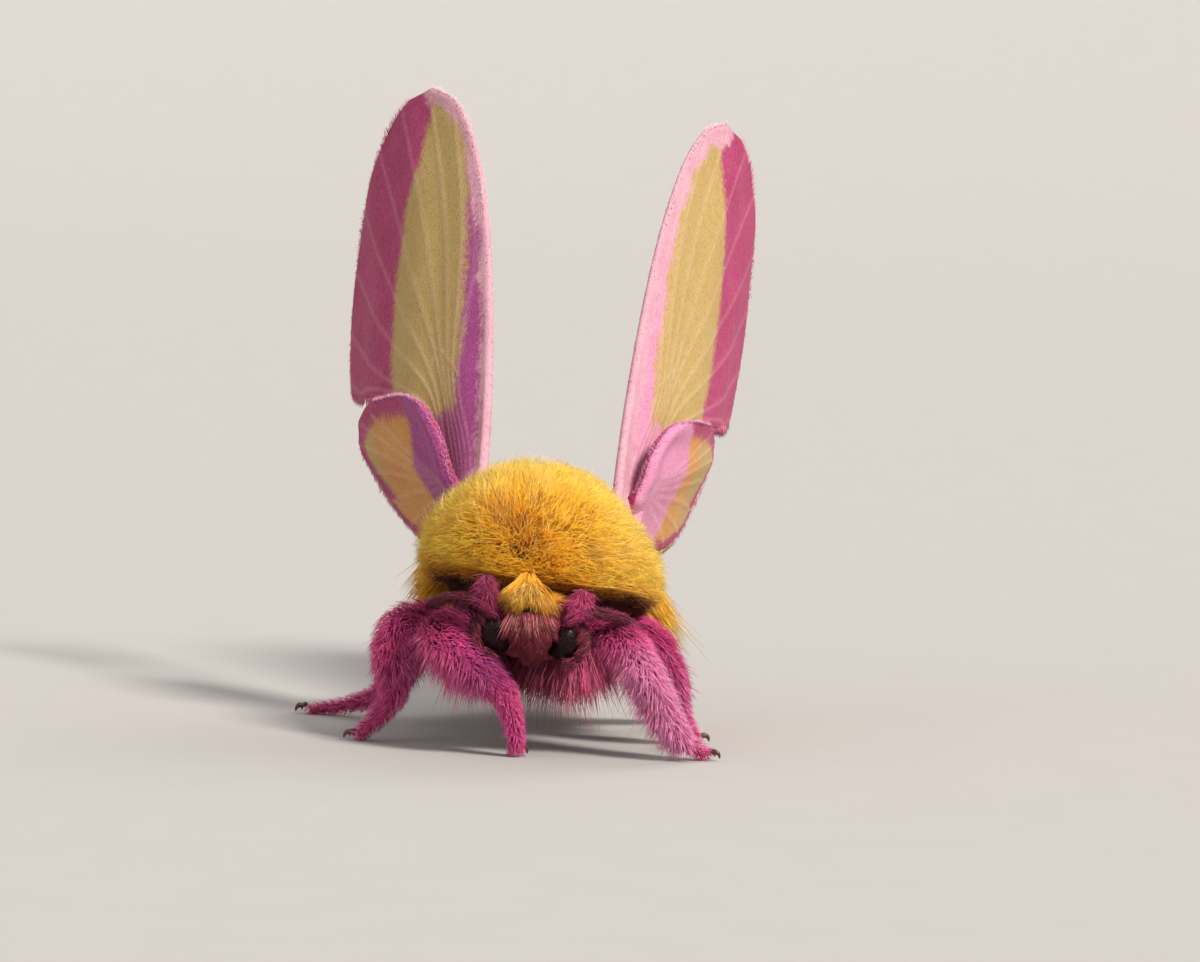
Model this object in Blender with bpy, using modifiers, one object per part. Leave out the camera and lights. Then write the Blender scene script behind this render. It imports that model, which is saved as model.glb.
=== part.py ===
"""Rosy maple moth (Dryocampa rubicunda) standing with its wings raised, at life size.

The solids give the outline of the animal out to the tips of its woolly coat. Shapes are
worked out in millimetres and turned into metres at the end. The moth faces -Y, +Z is up,
its right side is at -X. It stands on z = 0 on a small flat under each foot, and the origin
is the middle of the underside of the box round the whole animal.
"""

import math

import bmesh
import bpy
import numpy as np
from mathutils import Matrix, Vector

MM = 0.001

# ---------------------------------------------------------------- sizes, in millimetres
GAP = 0.12                # between neighbouring solids
WING_THICK = 0.50
FOREWING_LENGTH = 20.5    # hinge to apex
BODY_BANK = 9.0           # degrees, the thorax leans to the moth's left
HEAD_BANK = 4.0
BANK_HEIGHT = 6.0         # height of the axis that the body leans about

# The coat's outline over the thorax, level by level from below to the crown:
# latitude, height, half-width, front and back.
THORAX_LEVELS = (
    (-1.00, 2.55, 0.00, 1.20, 1.20),
    (-0.86, 2.70, 1.55, -0.80, 3.20),
    (-0.66, 3.40, 2.60, -1.50, 4.30),
    (-0.46, 4.35, 3.05, -1.90, 4.90),
    (-0.33, 4.90, 3.35, -2.20, 5.10),
    (-0.24, 5.08, 3.90, -3.30, 5.15),
    (-0.14, 5.45, 4.35, -4.05, 5.20),
    (0.02, 6.45, 4.62, -4.45, 5.20),
    (0.22, 7.65, 4.22, -4.30, 5.00),
    (0.42, 8.75, 3.30, -3.60, 4.40),
    (0.62, 9.60, 2.20, -2.60, 3.40),
    (0.82, 10.10, 1.15, -1.40, 1.95),
    (1.00, 10.25, 0.00, 0.10, 0.10),
)
CROWN_LEAN = -0.10        # sideways drift of the coat for each mm above the widest level
FRINGE_ARCH = 0.85        # how far the coat's front edge lifts over the face
THORAX_SQUARE = 0.94      # exponent of the rounded-square section
BROW_DEPTH = 0.35         # the shallow parting down the front of the coat

# Head with its face tuft, the same way.
HEAD_X = 0.12
HEAD_LEVELS = (
    (-1.00, 3.30, 0.00, -3.50, -3.50),
    (-0.65, 3.55, 1.10, -4.30, -2.30),
    (-0.30, 4.10, 1.70, -4.50, -1.60),
    (0.00, 4.70, 1.90, -4.65, -1.40),
    (0.30, 5.25, 1.75, -4.95, -1.50),
    (0.62, 5.75, 1.25, -4.90, -2.00),
    (1.00, 6.05, 0.00, -3.80, -3.80),
)

EYE_RADIUS = 0.80
EYE_SPREAD = 1.25         # from the middle of the head
EYE_FORWARD = -3.85
EYE_HEIGHT = 4.30

# Snout of upturned labial palps: height, half-width, half-depth, distance ahead.
PALP_X = 0.12
PALP_LEVELS = (
    (-1.00, 3.05, 0.00, -4.72, -4.72),
    (-0.60, 3.22, 0.38, -5.05, -4.35),
    (-0.10, 3.75, 0.58, -5.10, -4.10),
    (0.40, 4.35, 0.82, -5.05, -3.90),
    (0.75, 4.75, 0.85, -4.90, -3.90),
    (1.00, 5.00, 0.00, -4.40, -4.40),
)

# Abdomen, station by station from front to tip: latitude, distance back, half-width,
# half-height, height of its middle.
ABDOMEN_X = -0.28
ABDOMEN_STATIONS = (
    (-1.00, 3.40, 0.00, 0.00, 5.00),
    (-0.75, 3.90, 3.70, 2.40, 5.00),
    (-0.45, 5.20, 4.75, 3.00, 4.90),
    (-0.15, 7.20, 4.45, 3.00, 4.65),
    (0.15, 9.20, 3.80, 2.70, 4.25),
    (0.45, 11.20, 2.90, 2.20, 3.75),
    (0.75, 13.10, 1.70, 1.40, 3.25),
    (1.00, 14.30, 0.00, 0.00, 2.95),
)

# Forewing outline in shares of its length: (along the span, across the chord).
COSTA = ((0.0, 0.0), (0.30, -0.014), (0.60, -0.012), (0.80, 0.010), (0.92, 0.050), (0.985, 0.110))
MARGIN = ((0.0, 0.06), (0.15, 0.10), (0.30, 0.165), (0.42, 0.262), (0.50, 0.365), (0.56, 0.445),
          (0.62, 0.486), (0.70, 0.488), (0.80, 0.450), (0.91, 0.375), (0.985, 0.270), (1.0, 0.180))
# hinge x, y, z; tilt back, lean out and flare out in degrees; the curl across the chord and
# along the span; the chord's and the span's scale.
FOREWING_RIGHT = (-2.19, 0.68, 7.44, 39.5, 1.7, 52.8, -2.71, 1.28, 1.05, 1.05)
FOREWING_LEFT = (2.44, 0.70, 7.46, 39.4, 4.4, 33.9, -2.42, 0.66, 1.03, 1.03)

# Hindwing outline seen from the side: (distance back, height) along its upper edge with the
# humeral lobe, and along its lower edge.
HIND_UPPER = ((2.2, 9.0), (2.7, 10.8), (3.7, 11.9), (5.2, 12.1), (7.2, 11.7), (9.4, 11.2), (11.2, 10.6))
HIND_LOWER = ((2.4, 7.8), (3.4, 7.3), (5.0, 6.75), (6.8, 6.6), (8.6, 6.95), (10.2, 7.8), (11.2, 8.9), (11.6, 9.8))
# side; sideways place at the front, its growth backwards and the curl of that, how far it leans
# out above the middle height and tucks in below it, and the scale of its height above that.
HINDWING_RIGHT = (-1.0, 3.74, 0.520, -0.0100, 0.20, 0.45, 1.00)
HINDWING_LEFT = (1.0, 3.75, 0.425, -0.0240, 0.15, 0.36, 0.75)
HIND_FRONT = 2.8
HIND_MIDDLE = 9.5

# Legs, from the hip to the foot: x, y, z and the radius out to the hair tips.
LEGS = {
    "leg_fore_right": ((-1.2, -1.2, 3.9, 0.90), (-2.3, -2.2, 4.15, 0.95), (-3.3, -3.1, 4.15, 0.90),
                       (-2.2, -4.0, 3.35, 0.85), (-0.95, -4.5, 2.35, 0.60), (-0.5, -4.5, 1.20, 0.44),
                       (-0.4, -4.2, 0.10, 0.36)),
    "leg_fore_left": ((1.3, -1.2, 3.8, 0.90), (2.2, -2.3, 4.20, 0.95), (3.15, -3.1, 4.15, 0.85),
                      (3.95, -3.7, 3.20, 0.78), (4.55, -3.9, 2.10, 0.72), (5.15, -3.9, 1.15, 0.60),
                      (5.75, -3.7, 0.55, 0.40), (6.35, -3.5, 0.10, 0.34)),
    "leg_mid_right": ((-1.9, 0.9, 3.7, 0.90), (-3.6, 0.2, 4.20, 0.90), (-4.9, -0.5, 4.05, 0.88),
                      (-5.1, -0.9, 2.90, 0.85), (-5.1, -1.0, 1.70, 0.60), (-5.7, -0.9, 0.80, 0.44),
                      (-6.4, -0.7, 0.10, 0.36)),
    "leg_mid_left": ((2.0, 0.9, 3.6, 0.90), (3.2, 0.4, 3.95, 0.88), (4.1, 0.1, 3.75, 0.82),
                     (4.7, 0.3, 2.55, 0.78), (5.05, 0.8, 1.40, 0.56), (5.35, 1.2, 0.70, 0.42),
                     (5.75, 1.6, 0.10, 0.34)),
    "leg_hind_right": ((-1.8, 3.3, 3.5, 0.85), (-3.2, 4.0, 3.30, 0.80), (-4.5, 4.7, 3.40, 0.78),
                       (-5.2, 5.6, 2.10, 0.70), (-6.2, 6.4, 0.95, 0.50), (-7.5, 7.1, 0.42, 0.38),
                       (-9.0, 7.6, 0.10, 0.34)),
    "leg_hind_left": ((1.8, 3.3, 3.4, 0.85), (3.0, 4.4, 3.20, 0.80), (3.9, 5.4, 3.20, 0.78),
                      (4.15, 6.5, 2.20, 0.72), (4.4, 7.6, 1.15, 0.52), (4.6, 8.5, 0.55, 0.40),
                      (4.8, 9.3, 0.10, 0.34)),
}
# Long hair hanging under two of the legs: centre and half-sizes.
LEG_FRINGES = {
    "leg_fore_right": ((-1.95, -3.75, 2.55), (0.75, 0.50, 1.15)),
    "leg_fore_left": ((1.75, -2.75, 3.00), (1.15, 0.60, 1.60)),
}

# Antennae, drawn back under the coat's front edge: x, y, z, radius, as on the left side.
ANTENNA_BANK = 5.0
ANTENNA = ((1.05, -4.15, 4.75, 0.30), (1.40, -4.62, 5.10, 0.34), (1.85, -4.70, 5.40, 0.36),
           (2.45, -4.45, 5.42, 0.36), (3.05, -3.85, 5.28, 0.34), (3.50, -3.10, 5.05, 0.30),
           (3.75, -2.30, 4.85, 0.26))

COLOURS = {
    "thorax": (0.90, 0.62, 0.10), "abdomen": (0.90, 0.66, 0.18), "head": (0.84, 0.50, 0.18),
    "labial_palps": (0.72, 0.30, 0.42), "eye": (0.02, 0.012, 0.012),
    "antenna": (0.70, 0.24, 0.46), "forewing": (0.82, 0.42, 0.56),
    "hindwing": (0.84, 0.55, 0.55), "leg": (0.78, 0.16, 0.46),
}


# ---------------------------------------------------------------- helpers
def clear_scene():
    for obj in list(bpy.data.objects):
        bpy.data.objects.remove(obj, do_unlink=True)
    for mesh in list(bpy.data.meshes):
        bpy.data.meshes.remove(mesh)


def collection(name, cutters=False):
    made = bpy.data.collections.new(name)
    bpy.context.scene.collection.children.link(made)
    made.hide_render = cutters
    return made


def smooth_path(points, steps):
    """Catmull-Rom curve through the points, sampled with `steps` in each stretch."""
    points = np.asarray(points, float)
    ends = np.vstack([2 * points[0] - points[1], points, 2 * points[-1] - points[-2]])
    out = []
    for i in range(1, len(ends) - 2):
        a, b, c, d = ends[i - 1:i + 3]
        for t in np.arange(steps) / steps:
            out.append(0.5 * (2 * b + (c - a) * t + (2 * a - 5 * b + 4 * c - d) * t**2
                              + (3 * b - a - 3 * c + d) * t**3))
    out.append(points[-1])
    return np.array(out)


def along(points, share):
    """Point at a share (0 to 1) of the smooth curve through the points."""
    path = smooth_path(points, 12)
    length = np.r_[0, np.cumsum(np.linalg.norm(np.diff(path, axis=0), axis=1))]
    return np.array([np.interp(share * length[-1], length, column) for column in path.T])


def rows_at(rows, t):
    """The row of sizes at latitude t, between the rows given."""
    fine = smooth_path(rows, 10)
    return [float(np.interp(t, fine[:, 0], column)) for column in fine.T[1:]]


def bank(point, degrees):
    angle = math.radians(degrees)
    x, y, z = point
    h = z - BANK_HEIGHT
    return (x * math.cos(angle) + h * math.sin(angle), y,
            BANK_HEIGHT - x * math.sin(angle) + h * math.cos(angle))


def put(name, bm, where):
    mesh = bpy.data.meshes.new(name)
    bm.normal_update()
    bm.to_mesh(mesh)
    bm.free()
    obj = bpy.data.objects.new(name, mesh)
    where.objects.link(obj)
    return obj


def ball(name, place, where, segments, rings, along_y=False):
    """A UV sphere whose every vertex is moved to place(unit vector)."""
    bm = bmesh.new()
    bmesh.ops.create_uvsphere(bm, u_segments=segments, v_segments=rings, radius=1.0)
    if along_y:
        bmesh.ops.rotate(bm, verts=bm.verts, matrix=Matrix.Rotation(math.radians(-90), 3, "X"))
    for vert in bm.verts:
        vert.co = Vector(place(vert.co.normalized()))
    return put(name, bm, where)


def baked(obj):
    """Replaces the object's mesh by what its modifiers make of it."""
    bpy.context.view_layer.update()
    graph = bpy.context.evaluated_depsgraph_get()
    mesh = bpy.data.meshes.new_from_object(obj.evaluated_get(graph))
    obj.modifiers.clear()
    obj.data = mesh
    return obj


def cut_or_join(obj, others, operation, grow=0.0, where=None):
    """Boolean with each of the others, grown along its normals."""
    for other in others:
        if grow:
            tool = bpy.data.objects.new(obj.name + "_by_" + other.name, other.data.copy())
            normals = [Vector(v.normal) for v in tool.data.vertices]
            for vert, normal in zip(tool.data.vertices, normals):
                vert.co += normal * grow
            where.objects.link(tool)
            tool.hide_render = True
            tool.display_type = "WIRE"
        else:
            tool = other
        step = obj.modifiers.new(operation.lower(), "BOOLEAN")
        step.operation = operation
        step.solver = "EXACT"
        step.object = tool
        baked(obj)
        if tool is not other:
            bpy.data.objects.remove(tool, do_unlink=True)
    return obj


def largest_piece(obj):
    """Keeps the largest connected piece, dropping crumbs that a cut leaves."""
    bm = bmesh.new()
    bm.from_mesh(obj.data)
    bmesh.ops.remove_doubles(bm, verts=bm.verts, dist=1e-4)
    left, pieces = set(bm.verts), []
    while left:
        stack, piece = [left.pop()], set()
        while stack:
            vert = stack.pop()
            piece.add(vert)
            for edge in vert.link_edges:
                other = edge.other_vert(vert)
                if other in left:
                    left.discard(other)
                    stack.append(other)
        pieces.append(piece)
    pieces.sort(key=len)
    for piece in pieces[:-1]:
        bmesh.ops.delete(bm, geom=list(piece), context="VERTS")
    bm.to_mesh(obj.data)
    bm.free()
    return obj


def tube(name, rows, where, steps=3, resolution=2):
    """A tube of changing radius through the rows of (x, y, z, radius), as a closed mesh."""
    path = smooth_path(rows, steps)
    curve = bpy.data.curves.new(name, "CURVE")
    curve.dimensions = "3D"
    curve.bevel_depth = 1.0
    curve.bevel_resolution = resolution
    curve.use_fill_caps = True
    spline = curve.splines.new("POLY")
    spline.points.add(len(path) - 1)
    for point, (x, y, z, radius) in zip(spline.points, path):
        point.co = (x, y, z, 1.0)
        point.radius = max(radius, 0.05)
    guide = bpy.data.objects.new(name + "_guide", curve)
    where.objects.link(guide)
    bpy.context.view_layer.update()
    mesh = bpy.data.meshes.new_from_object(guide.evaluated_get(bpy.context.evaluated_depsgraph_get()))
    bpy.data.objects.remove(guide, do_unlink=True)
    bm = bmesh.new()
    bm.from_mesh(mesh)
    bmesh.ops.remove_doubles(bm, verts=bm.verts, dist=1e-5)
    bmesh.ops.recalc_face_normals(bm, faces=bm.faces)
    return put(name, bm, where)


def sheet(name, place, where, across, down, thick):
    """A thickened grid whose points (u, v), 0 to 1 each, go to place(u, v)."""
    bm = bmesh.new()
    bmesh.ops.create_grid(bm, x_segments=across, y_segments=down, size=0.5)
    for vert in bm.verts:
        vert.co = Vector(place(vert.co.x + 0.5, vert.co.y + 0.5))
    obj = put(name, bm, where)
    shell = obj.modifiers.new("thickness", "SOLIDIFY")
    shell.thickness = thick
    shell.offset = 0.0
    baked(obj)
    bm = bmesh.new()
    bm.from_mesh(obj.data)
    bmesh.ops.recalc_face_normals(bm, faces=bm.faces)
    bm.to_mesh(obj.data)
    bm.free()
    return obj


# ---------------------------------------------------------------- shapes
def levelled(levels, n, middle_x, degrees, square, relief=None):
    """Point of a body described level by level, for the unit vector n."""
    t = math.asin(max(-1.0, min(1.0, n.z))) / (math.pi / 2)
    z, half, front, back = rows_at(levels, t)
    flat = math.hypot(n.x, n.y)
    if flat < 1e-6:
        return bank((middle_x, (front + back) / 2, z), degrees)
    c, s = n.x / flat, n.y / flat
    centre = front + (back - front) * 0.5
    reach = (back - front) / 2
    x = half * math.copysign(abs(c) ** square, c)
    y = centre + reach * math.copysign(abs(s) ** square, s)
    if relief:
        x, y, z = relief(x, y, z, s)
    return bank((middle_x + x, y, z), degrees)


def front_relief(x, y, z, s):
    """Leans the crown, lifts the front edge over the face and sinks the parting, which
    wanders down the front to the moth's left."""
    if s < 0 and z > 4.9:
        valley = -0.9 + (8.2 - z) * 0.45
        across = math.exp(-((x - valley) / 0.75) ** 2)
        y += BROW_DEPTH * across * math.exp(-((z - 7.0) / 1.3) ** 2)
        lift = (FRINGE_ARCH + 0.07 * x) * min(1.0, -1.3 * s)
        z += lift * math.exp(-((z - 5.2) / 0.9) ** 2)
    return x + CROWN_LEAN * max(0.0, z - 6.5), y, z


def thorax_point(n):
    return levelled(THORAX_LEVELS, n, 0.0, BODY_BANK, THORAX_SQUARE, front_relief)


def head_point(n):
    return levelled(HEAD_LEVELS, n, HEAD_X, HEAD_BANK, 0.95)


def palp_point(n):
    return levelled(PALP_LEVELS, n, PALP_X, HEAD_BANK, 1.0)


def abdomen_point(n):
    t = math.asin(max(-1.0, min(1.0, n.y))) / (math.pi / 2)
    y, half, high, middle = rows_at(ABDOMEN_STATIONS, t)
    flat = math.hypot(n.x, n.z)
    if flat < 1e-6:
        return (ABDOMEN_X, y, middle)
    return (ABDOMEN_X + half * n.x / flat, y, middle + high * n.z / flat)


def eye_place(side):
    def place(n):
        x = HEAD_X + side * EYE_SPREAD + EYE_RADIUS * 0.85 * n.x
        y = EYE_FORWARD + EYE_RADIUS * n.y
        z = EYE_HEIGHT + EYE_RADIUS * n.z
        return bank((x, y, z), HEAD_BANK)
    return place


def forewing_place(sizes, side):
    bx, by, bz, tilt, lean, flare, curl, sweep, chord_scale, span_scale = sizes
    turn = (Matrix.Rotation(math.radians(-tilt), 3, "X")
            @ Matrix.Rotation(math.radians(lean), 3, "Y")
            @ Matrix.Rotation(math.radians(-flare), 3, "Z"))

    def place(u, v):
        front, back = along(COSTA, u), along(MARGIN, u)
        span, chord = front + (back - front) * v
        s = span * FOREWING_LENGTH * span_scale
        c = chord * FOREWING_LENGTH * chord_scale
        h = curl * (c / 8.0) ** 2 + sweep * (s / FOREWING_LENGTH) ** 2
        p = turn @ Vector((h, c, s))
        return (side * p.x + bx, p.y + by, p.z + bz)
    return place


def hindwing_place(sizes):
    side, start, growth, curl, lean, tuck, crest = sizes

    def place(u, v):
        upper, lower = along(HIND_UPPER, u), along(HIND_LOWER, u)
        y, z = upper + (lower - upper) * v
        back = y - HIND_FRONT
        up = z - HIND_MIDDLE
        if up > 0:
            up *= crest
        x = start + growth * back + curl * back * back + (lean if up > 0 else tuck) * up
        return (side * x, y, HIND_MIDDLE + up)
    return place


def leg(name, where):
    """Tube of the leg, its hanging hair joined on, evened out and cut flat under the foot."""
    obj = tube(name, LEGS[name] + (tuple(np.array(LEGS[name][-1]) - (0, 0, 0.5, 0)),), where, 4, 3)
    if name in LEG_FRINGES:
        centre, half = LEG_FRINGES[name]
        fringe = ball(name + "_fringe", lambda n: [c + h * k for c, h, k in zip(centre, half, n)],
                      where, 16, 10)
        evened(fringe, 0.18, 1.0)
        evened(obj, 0.18, 1.0)
        cut_or_join(obj, [fringe], "UNION")
        bpy.data.objects.remove(fringe, do_unlink=True)
    evened(obj, 0.17, 0.086)
    bm = bmesh.new()
    bm.from_mesh(obj.data)
    cut = bmesh.ops.bisect_plane(bm, geom=bm.verts[:] + bm.edges[:] + bm.faces[:], dist=1e-5,
                                 plane_co=(0, 0, 0), plane_no=(0, 0, -1), clear_outer=True)
    rim = [e for e in cut["geom_cut"] if isinstance(e, bmesh.types.BMEdge)]
    bmesh.ops.holes_fill(bm, edges=rim, sides=0)
    bmesh.ops.recalc_face_normals(bm, faces=bm.faces)
    bm.to_mesh(obj.data)
    bm.free()
    return obj


def evened(obj, voxel, keep):
    remesh = obj.modifiers.new("even", "REMESH")
    remesh.mode = "VOXEL"
    remesh.voxel_size = voxel
    baked(obj)
    soften = obj.modifiers.new("soften", "SMOOTH")
    soften.factor = 0.5
    soften.iterations = 3
    baked(obj)
    if keep < 1.0:
        thin = obj.modifiers.new("thin", "DECIMATE")
        thin.ratio = keep
        baked(obj)
    return obj


def antenna(name, side, where):
    rows = []
    for x, y, z, radius in ANTENNA:
        rows.append((*bank((HEAD_X + side * x, y, z), ANTENNA_BANK), radius))
    return tube(name, rows, where, 2, 2)


def finish_material(obj, kind):
    material = bpy.data.materials.new(obj.name)
    material.use_nodes = True
    shader = material.node_tree.nodes["Principled BSDF"]
    shader.inputs["Base Color"].default_value = (*COLOURS[kind], 1.0)
    shader.inputs["Roughness"].default_value = 0.15 if kind == "eye" else 0.85
    shader.inputs["Metallic"].default_value = 0.0
    obj.data.materials.clear()
    obj.data.materials.append(material)


def build():
    clear_scene()
    parts = collection("rosy_maple_moth")
    cutters = collection("cutters", cutters=True)

    thorax = ball("thorax", thorax_point, parts, 32, 24)
    eyes = [ball("eye_" + side, eye_place(sign), parts, 14, 9) for side, sign in (("left", 1), ("right", -1))]
    head = ball("head", head_point, parts, 22, 14)
    palps = ball("labial_palps", palp_point, parts, 16, 12)
    abdomen = ball("abdomen", abdomen_point, parts, 24, 15, along_y=True)
    cut_or_join(head, [thorax] + eyes, "DIFFERENCE", GAP, cutters)
    largest_piece(head)
    head_hull = ball("head_hull", head_point, cutters, 22, 14)
    cut_or_join(palps, [head_hull] + eyes, "DIFFERENCE", GAP, cutters)
    largest_piece(palps)
    cut_or_join(abdomen, [thorax], "DIFFERENCE", GAP, cutters)
    largest_piece(abdomen)
    antennae = [antenna("antenna_" + side, sign, parts) for side, sign in (("left", 1), ("right", -1))]
    for obj in antennae:
        cut_or_join(obj, [head_hull, thorax] + eyes, "DIFFERENCE", GAP, cutters)
        largest_piece(obj)
    legs = []
    for name in LEGS:
        obj = leg(name, parts)
        near = [thorax, abdomen]
        if "fore" in name:
            near += [head_hull, palps] + antennae + eyes
        cut_or_join(obj, near, "DIFFERENCE", GAP, cutters)
        legs.append(largest_piece(obj))
    wings = [
        sheet("forewing_right", forewing_place(FOREWING_RIGHT, -1), parts, 14, 7, WING_THICK),
        sheet("forewing_left", forewing_place(FOREWING_LEFT, 1), parts, 14, 7, WING_THICK),
        sheet("hindwing_right", hindwing_place(HINDWING_RIGHT), parts, 12, 7, WING_THICK),
        sheet("hindwing_left", hindwing_place(HINDWING_LEFT), parts, 12, 7, WING_THICK),
    ]
    for i, obj in enumerate(wings):
        near = [thorax, abdomen] + ([wings[i - 2]] if i > 1 else [])
        cut_or_join(obj, near, "DIFFERENCE", GAP, cutters)
        largest_piece(obj)
    bpy.data.objects.remove(head_hull, do_unlink=True)

    points = np.array([v.co for obj in parts.objects for v in obj.data.vertices])
    low, high = points.min(axis=0), points.max(axis=0)
    shift = Matrix.Translation((-(low[0] + high[0]) / 2, -(low[1] + high[1]) / 2, 0.0))
    for obj in parts.objects:
        obj.data.transform(Matrix.Scale(MM, 4) @ shift)
        kind = obj.name.split("_")[0]
        finish_material(obj, "labial_palps" if kind == "labial" else kind)
        obj.data.shade_smooth()
        obj.data.set_sharp_from_angle(angle=math.radians(40))


build()
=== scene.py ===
import math

import bpy
import numpy as np
from mathutils import Matrix, Vector


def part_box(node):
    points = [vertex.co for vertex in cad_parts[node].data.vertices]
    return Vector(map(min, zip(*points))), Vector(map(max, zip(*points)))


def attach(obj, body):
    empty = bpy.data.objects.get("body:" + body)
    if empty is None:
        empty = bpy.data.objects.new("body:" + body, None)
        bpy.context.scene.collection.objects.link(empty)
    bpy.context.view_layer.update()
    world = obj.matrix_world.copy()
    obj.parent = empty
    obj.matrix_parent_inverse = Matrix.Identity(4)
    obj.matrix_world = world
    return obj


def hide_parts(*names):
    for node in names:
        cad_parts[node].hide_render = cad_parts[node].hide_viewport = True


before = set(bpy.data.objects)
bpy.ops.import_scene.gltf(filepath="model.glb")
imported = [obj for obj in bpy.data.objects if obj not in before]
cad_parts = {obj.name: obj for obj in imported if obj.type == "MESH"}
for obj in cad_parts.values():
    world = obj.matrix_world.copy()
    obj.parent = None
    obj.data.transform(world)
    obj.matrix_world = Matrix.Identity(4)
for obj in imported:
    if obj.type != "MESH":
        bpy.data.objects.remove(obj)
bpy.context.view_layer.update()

MM = 0.001
EYE_LOW, EYE_HIGH = (np.array(corner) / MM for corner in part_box("eye_left"))
# Shapes are worked out in millimetres about the moth's own middle; this carries them to the frame.
SHIFT = (EYE_LOW + EYE_HIGH) / 2 - np.array((1.248, -3.85, 4.2085))
TWO_PI = 2 * math.pi
rng = np.random.default_rng(7)


# ================================================================ small helpers
def normed(v):
    return v / np.maximum(np.linalg.norm(v, axis=-1, keepdims=True), 1e-12)


def step(low, high, value):
    t = np.clip((value - low) / (high - low), 0, 1)
    return t * t * (3 - 2 * t)


def tint(a, b, share):
    """Colours a and b (3 numbers, or rows of 3) mixed by a share for each row."""
    share = np.asarray(share, float)[:, None]
    return np.asarray(a, float) * (1 - share) + np.asarray(b, float) * share


def smooth_path(points, steps):
    points = np.asarray(points, float)
    ends = np.vstack([2 * points[0] - points[1], points, 2 * points[-1] - points[-2]])
    out = []
    for i in range(1, len(ends) - 2):
        a, b, c, d = ends[i - 1:i + 3]
        for t in np.arange(steps) / steps:
            out.append(0.5 * (2 * b + (c - a) * t + (2 * a - 5 * b + 4 * c - d) * t**2
                              + (3 * b - a - 3 * c + d) * t**3))
    out.append(points[-1])
    return np.array(out)


def arc_of(path):
    return np.r_[0, np.cumsum(np.linalg.norm(np.diff(path[:, :3], axis=0), axis=1))]


def along(points, share):
    """Points at shares (0 to 1) of the smooth curve through the points."""
    path = smooth_path(points, 12)
    length = np.r_[0, np.cumsum(np.linalg.norm(np.diff(path, axis=0), axis=1))]
    return np.stack([np.interp(np.asarray(share) * length[-1], length, column) for column in path.T], -1)


def bank(p, degrees, height=6.0):
    angle = math.radians(degrees)
    h = p[..., 2] - height
    return np.stack([p[..., 0] * math.cos(angle) + h * math.sin(angle), p[..., 1],
                     height - p[..., 0] * math.sin(angle) + h * math.cos(angle)], -1)


def placed(p):
    return (np.asarray(p, float) + SHIFT) * MM


def object_of(name, points, faces, smooth=True):
    mesh = bpy.data.meshes.new(name)
    mesh.from_pydata(placed(points).tolist(), [], [list(map(int, f)) for f in faces])
    if smooth:
        mesh.shade_smooth()
    obj = bpy.data.objects.new(name, mesh)
    bpy.context.scene.collection.objects.link(obj)
    return obj


def number_attribute(obj, name, values):
    made = obj.data.attributes.new(name, "FLOAT", "POINT")
    made.data.foreach_set("value", np.asarray(values, np.float32).ravel())


def colour_attribute(obj, name, values):
    made = obj.data.attributes.new(name, "FLOAT_COLOR", "POINT")
    rgba = np.ones((len(values), 4), np.float32)
    rgba[:, :3] = values
    made.data.foreach_set("color", rgba.ravel())


def finish_piece(obj, slot, *replaced):
    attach(obj, "root")
    if replaced:
        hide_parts(*replaced)
    return obj


# ================================================================ colours of the animal
GOLD = (0.98, 0.49, 0.012)
PALE_GOLD = (1.0, 0.69, 0.10)
AMBER = (0.68, 0.22, 0.005)
FACE_GOLD = (0.94, 0.45, 0.02)
PURPLE = (0.36, 0.020, 0.12)
DULL_PINK = (0.52, 0.075, 0.14)
# the dark maroon below is painted shade, used for hollows, for hair roots deep in the coat and for the skin under it
SHADE_MAROON = (0.09, 0.008, 0.012)
# the pale rose below is a painted highlight on sunlit leg hair
HIGHLIGHT_ROSE = (1.0, 0.43, 0.70)


# ================================================================ forms of the body
THORAX_OUT = smooth_path((
    (-1.00, 2.55, 0.00, 1.20, 1.20), (-0.86, 2.70, 1.55, -0.80, 3.20), (-0.66, 3.40, 2.60, -1.50, 4.30),
    (-0.46, 4.35, 3.05, -1.90, 4.90), (-0.33, 4.90, 3.35, -2.20, 5.10), (-0.24, 5.08, 3.90, -3.30, 5.15),
    (-0.14, 5.45, 4.35, -4.05, 5.20), (0.02, 6.45, 4.62, -4.45, 5.20), (0.22, 7.65, 4.22, -4.30, 5.00),
    (0.42, 8.75, 3.30, -3.60, 4.40), (0.62, 9.60, 2.20, -2.60, 3.40), (0.82, 10.10, 1.15, -1.40, 1.95),
    (1.00, 10.25, 0.00, 0.10, 0.10)), 10)
THORAX_IN = smooth_path((
    (-1.00, 3.05, 0.00, 1.20, 1.20), (-0.86, 3.20, 1.25, -0.40, 2.90), (-0.66, 3.75, 2.05, -1.10, 3.80),
    (-0.46, 4.45, 2.50, -1.60, 4.30), (-0.33, 4.95, 2.75, -1.85, 4.50), (-0.24, 5.25, 2.95, -2.20, 4.55),
    (-0.14, 5.60, 3.10, -2.55, 4.60), (0.02, 6.20, 3.20, -2.85, 4.60), (0.22, 7.05, 3.00, -2.75, 4.40),
    (0.42, 7.85, 2.42, -2.25, 3.75), (0.62, 8.45, 1.65, -1.50, 2.85), (0.82, 8.78, 0.85, -0.65, 1.65),
    (1.00, 8.88, 0.00, 0.15, 0.15)), 10)
HEAD_OUT = smooth_path((
    (-1.00, 3.30, 0.00, -3.50, -3.50), (-0.65, 3.55, 1.10, -4.30, -2.30), (-0.30, 4.10, 1.70, -4.50, -1.60),
    (0.00, 4.70, 1.90, -4.65, -1.40), (0.30, 5.25, 1.75, -4.95, -1.50), (0.62, 5.75, 1.25, -4.90, -2.00),
    (1.00, 6.05, 0.00, -3.80, -3.80)), 10)
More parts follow.
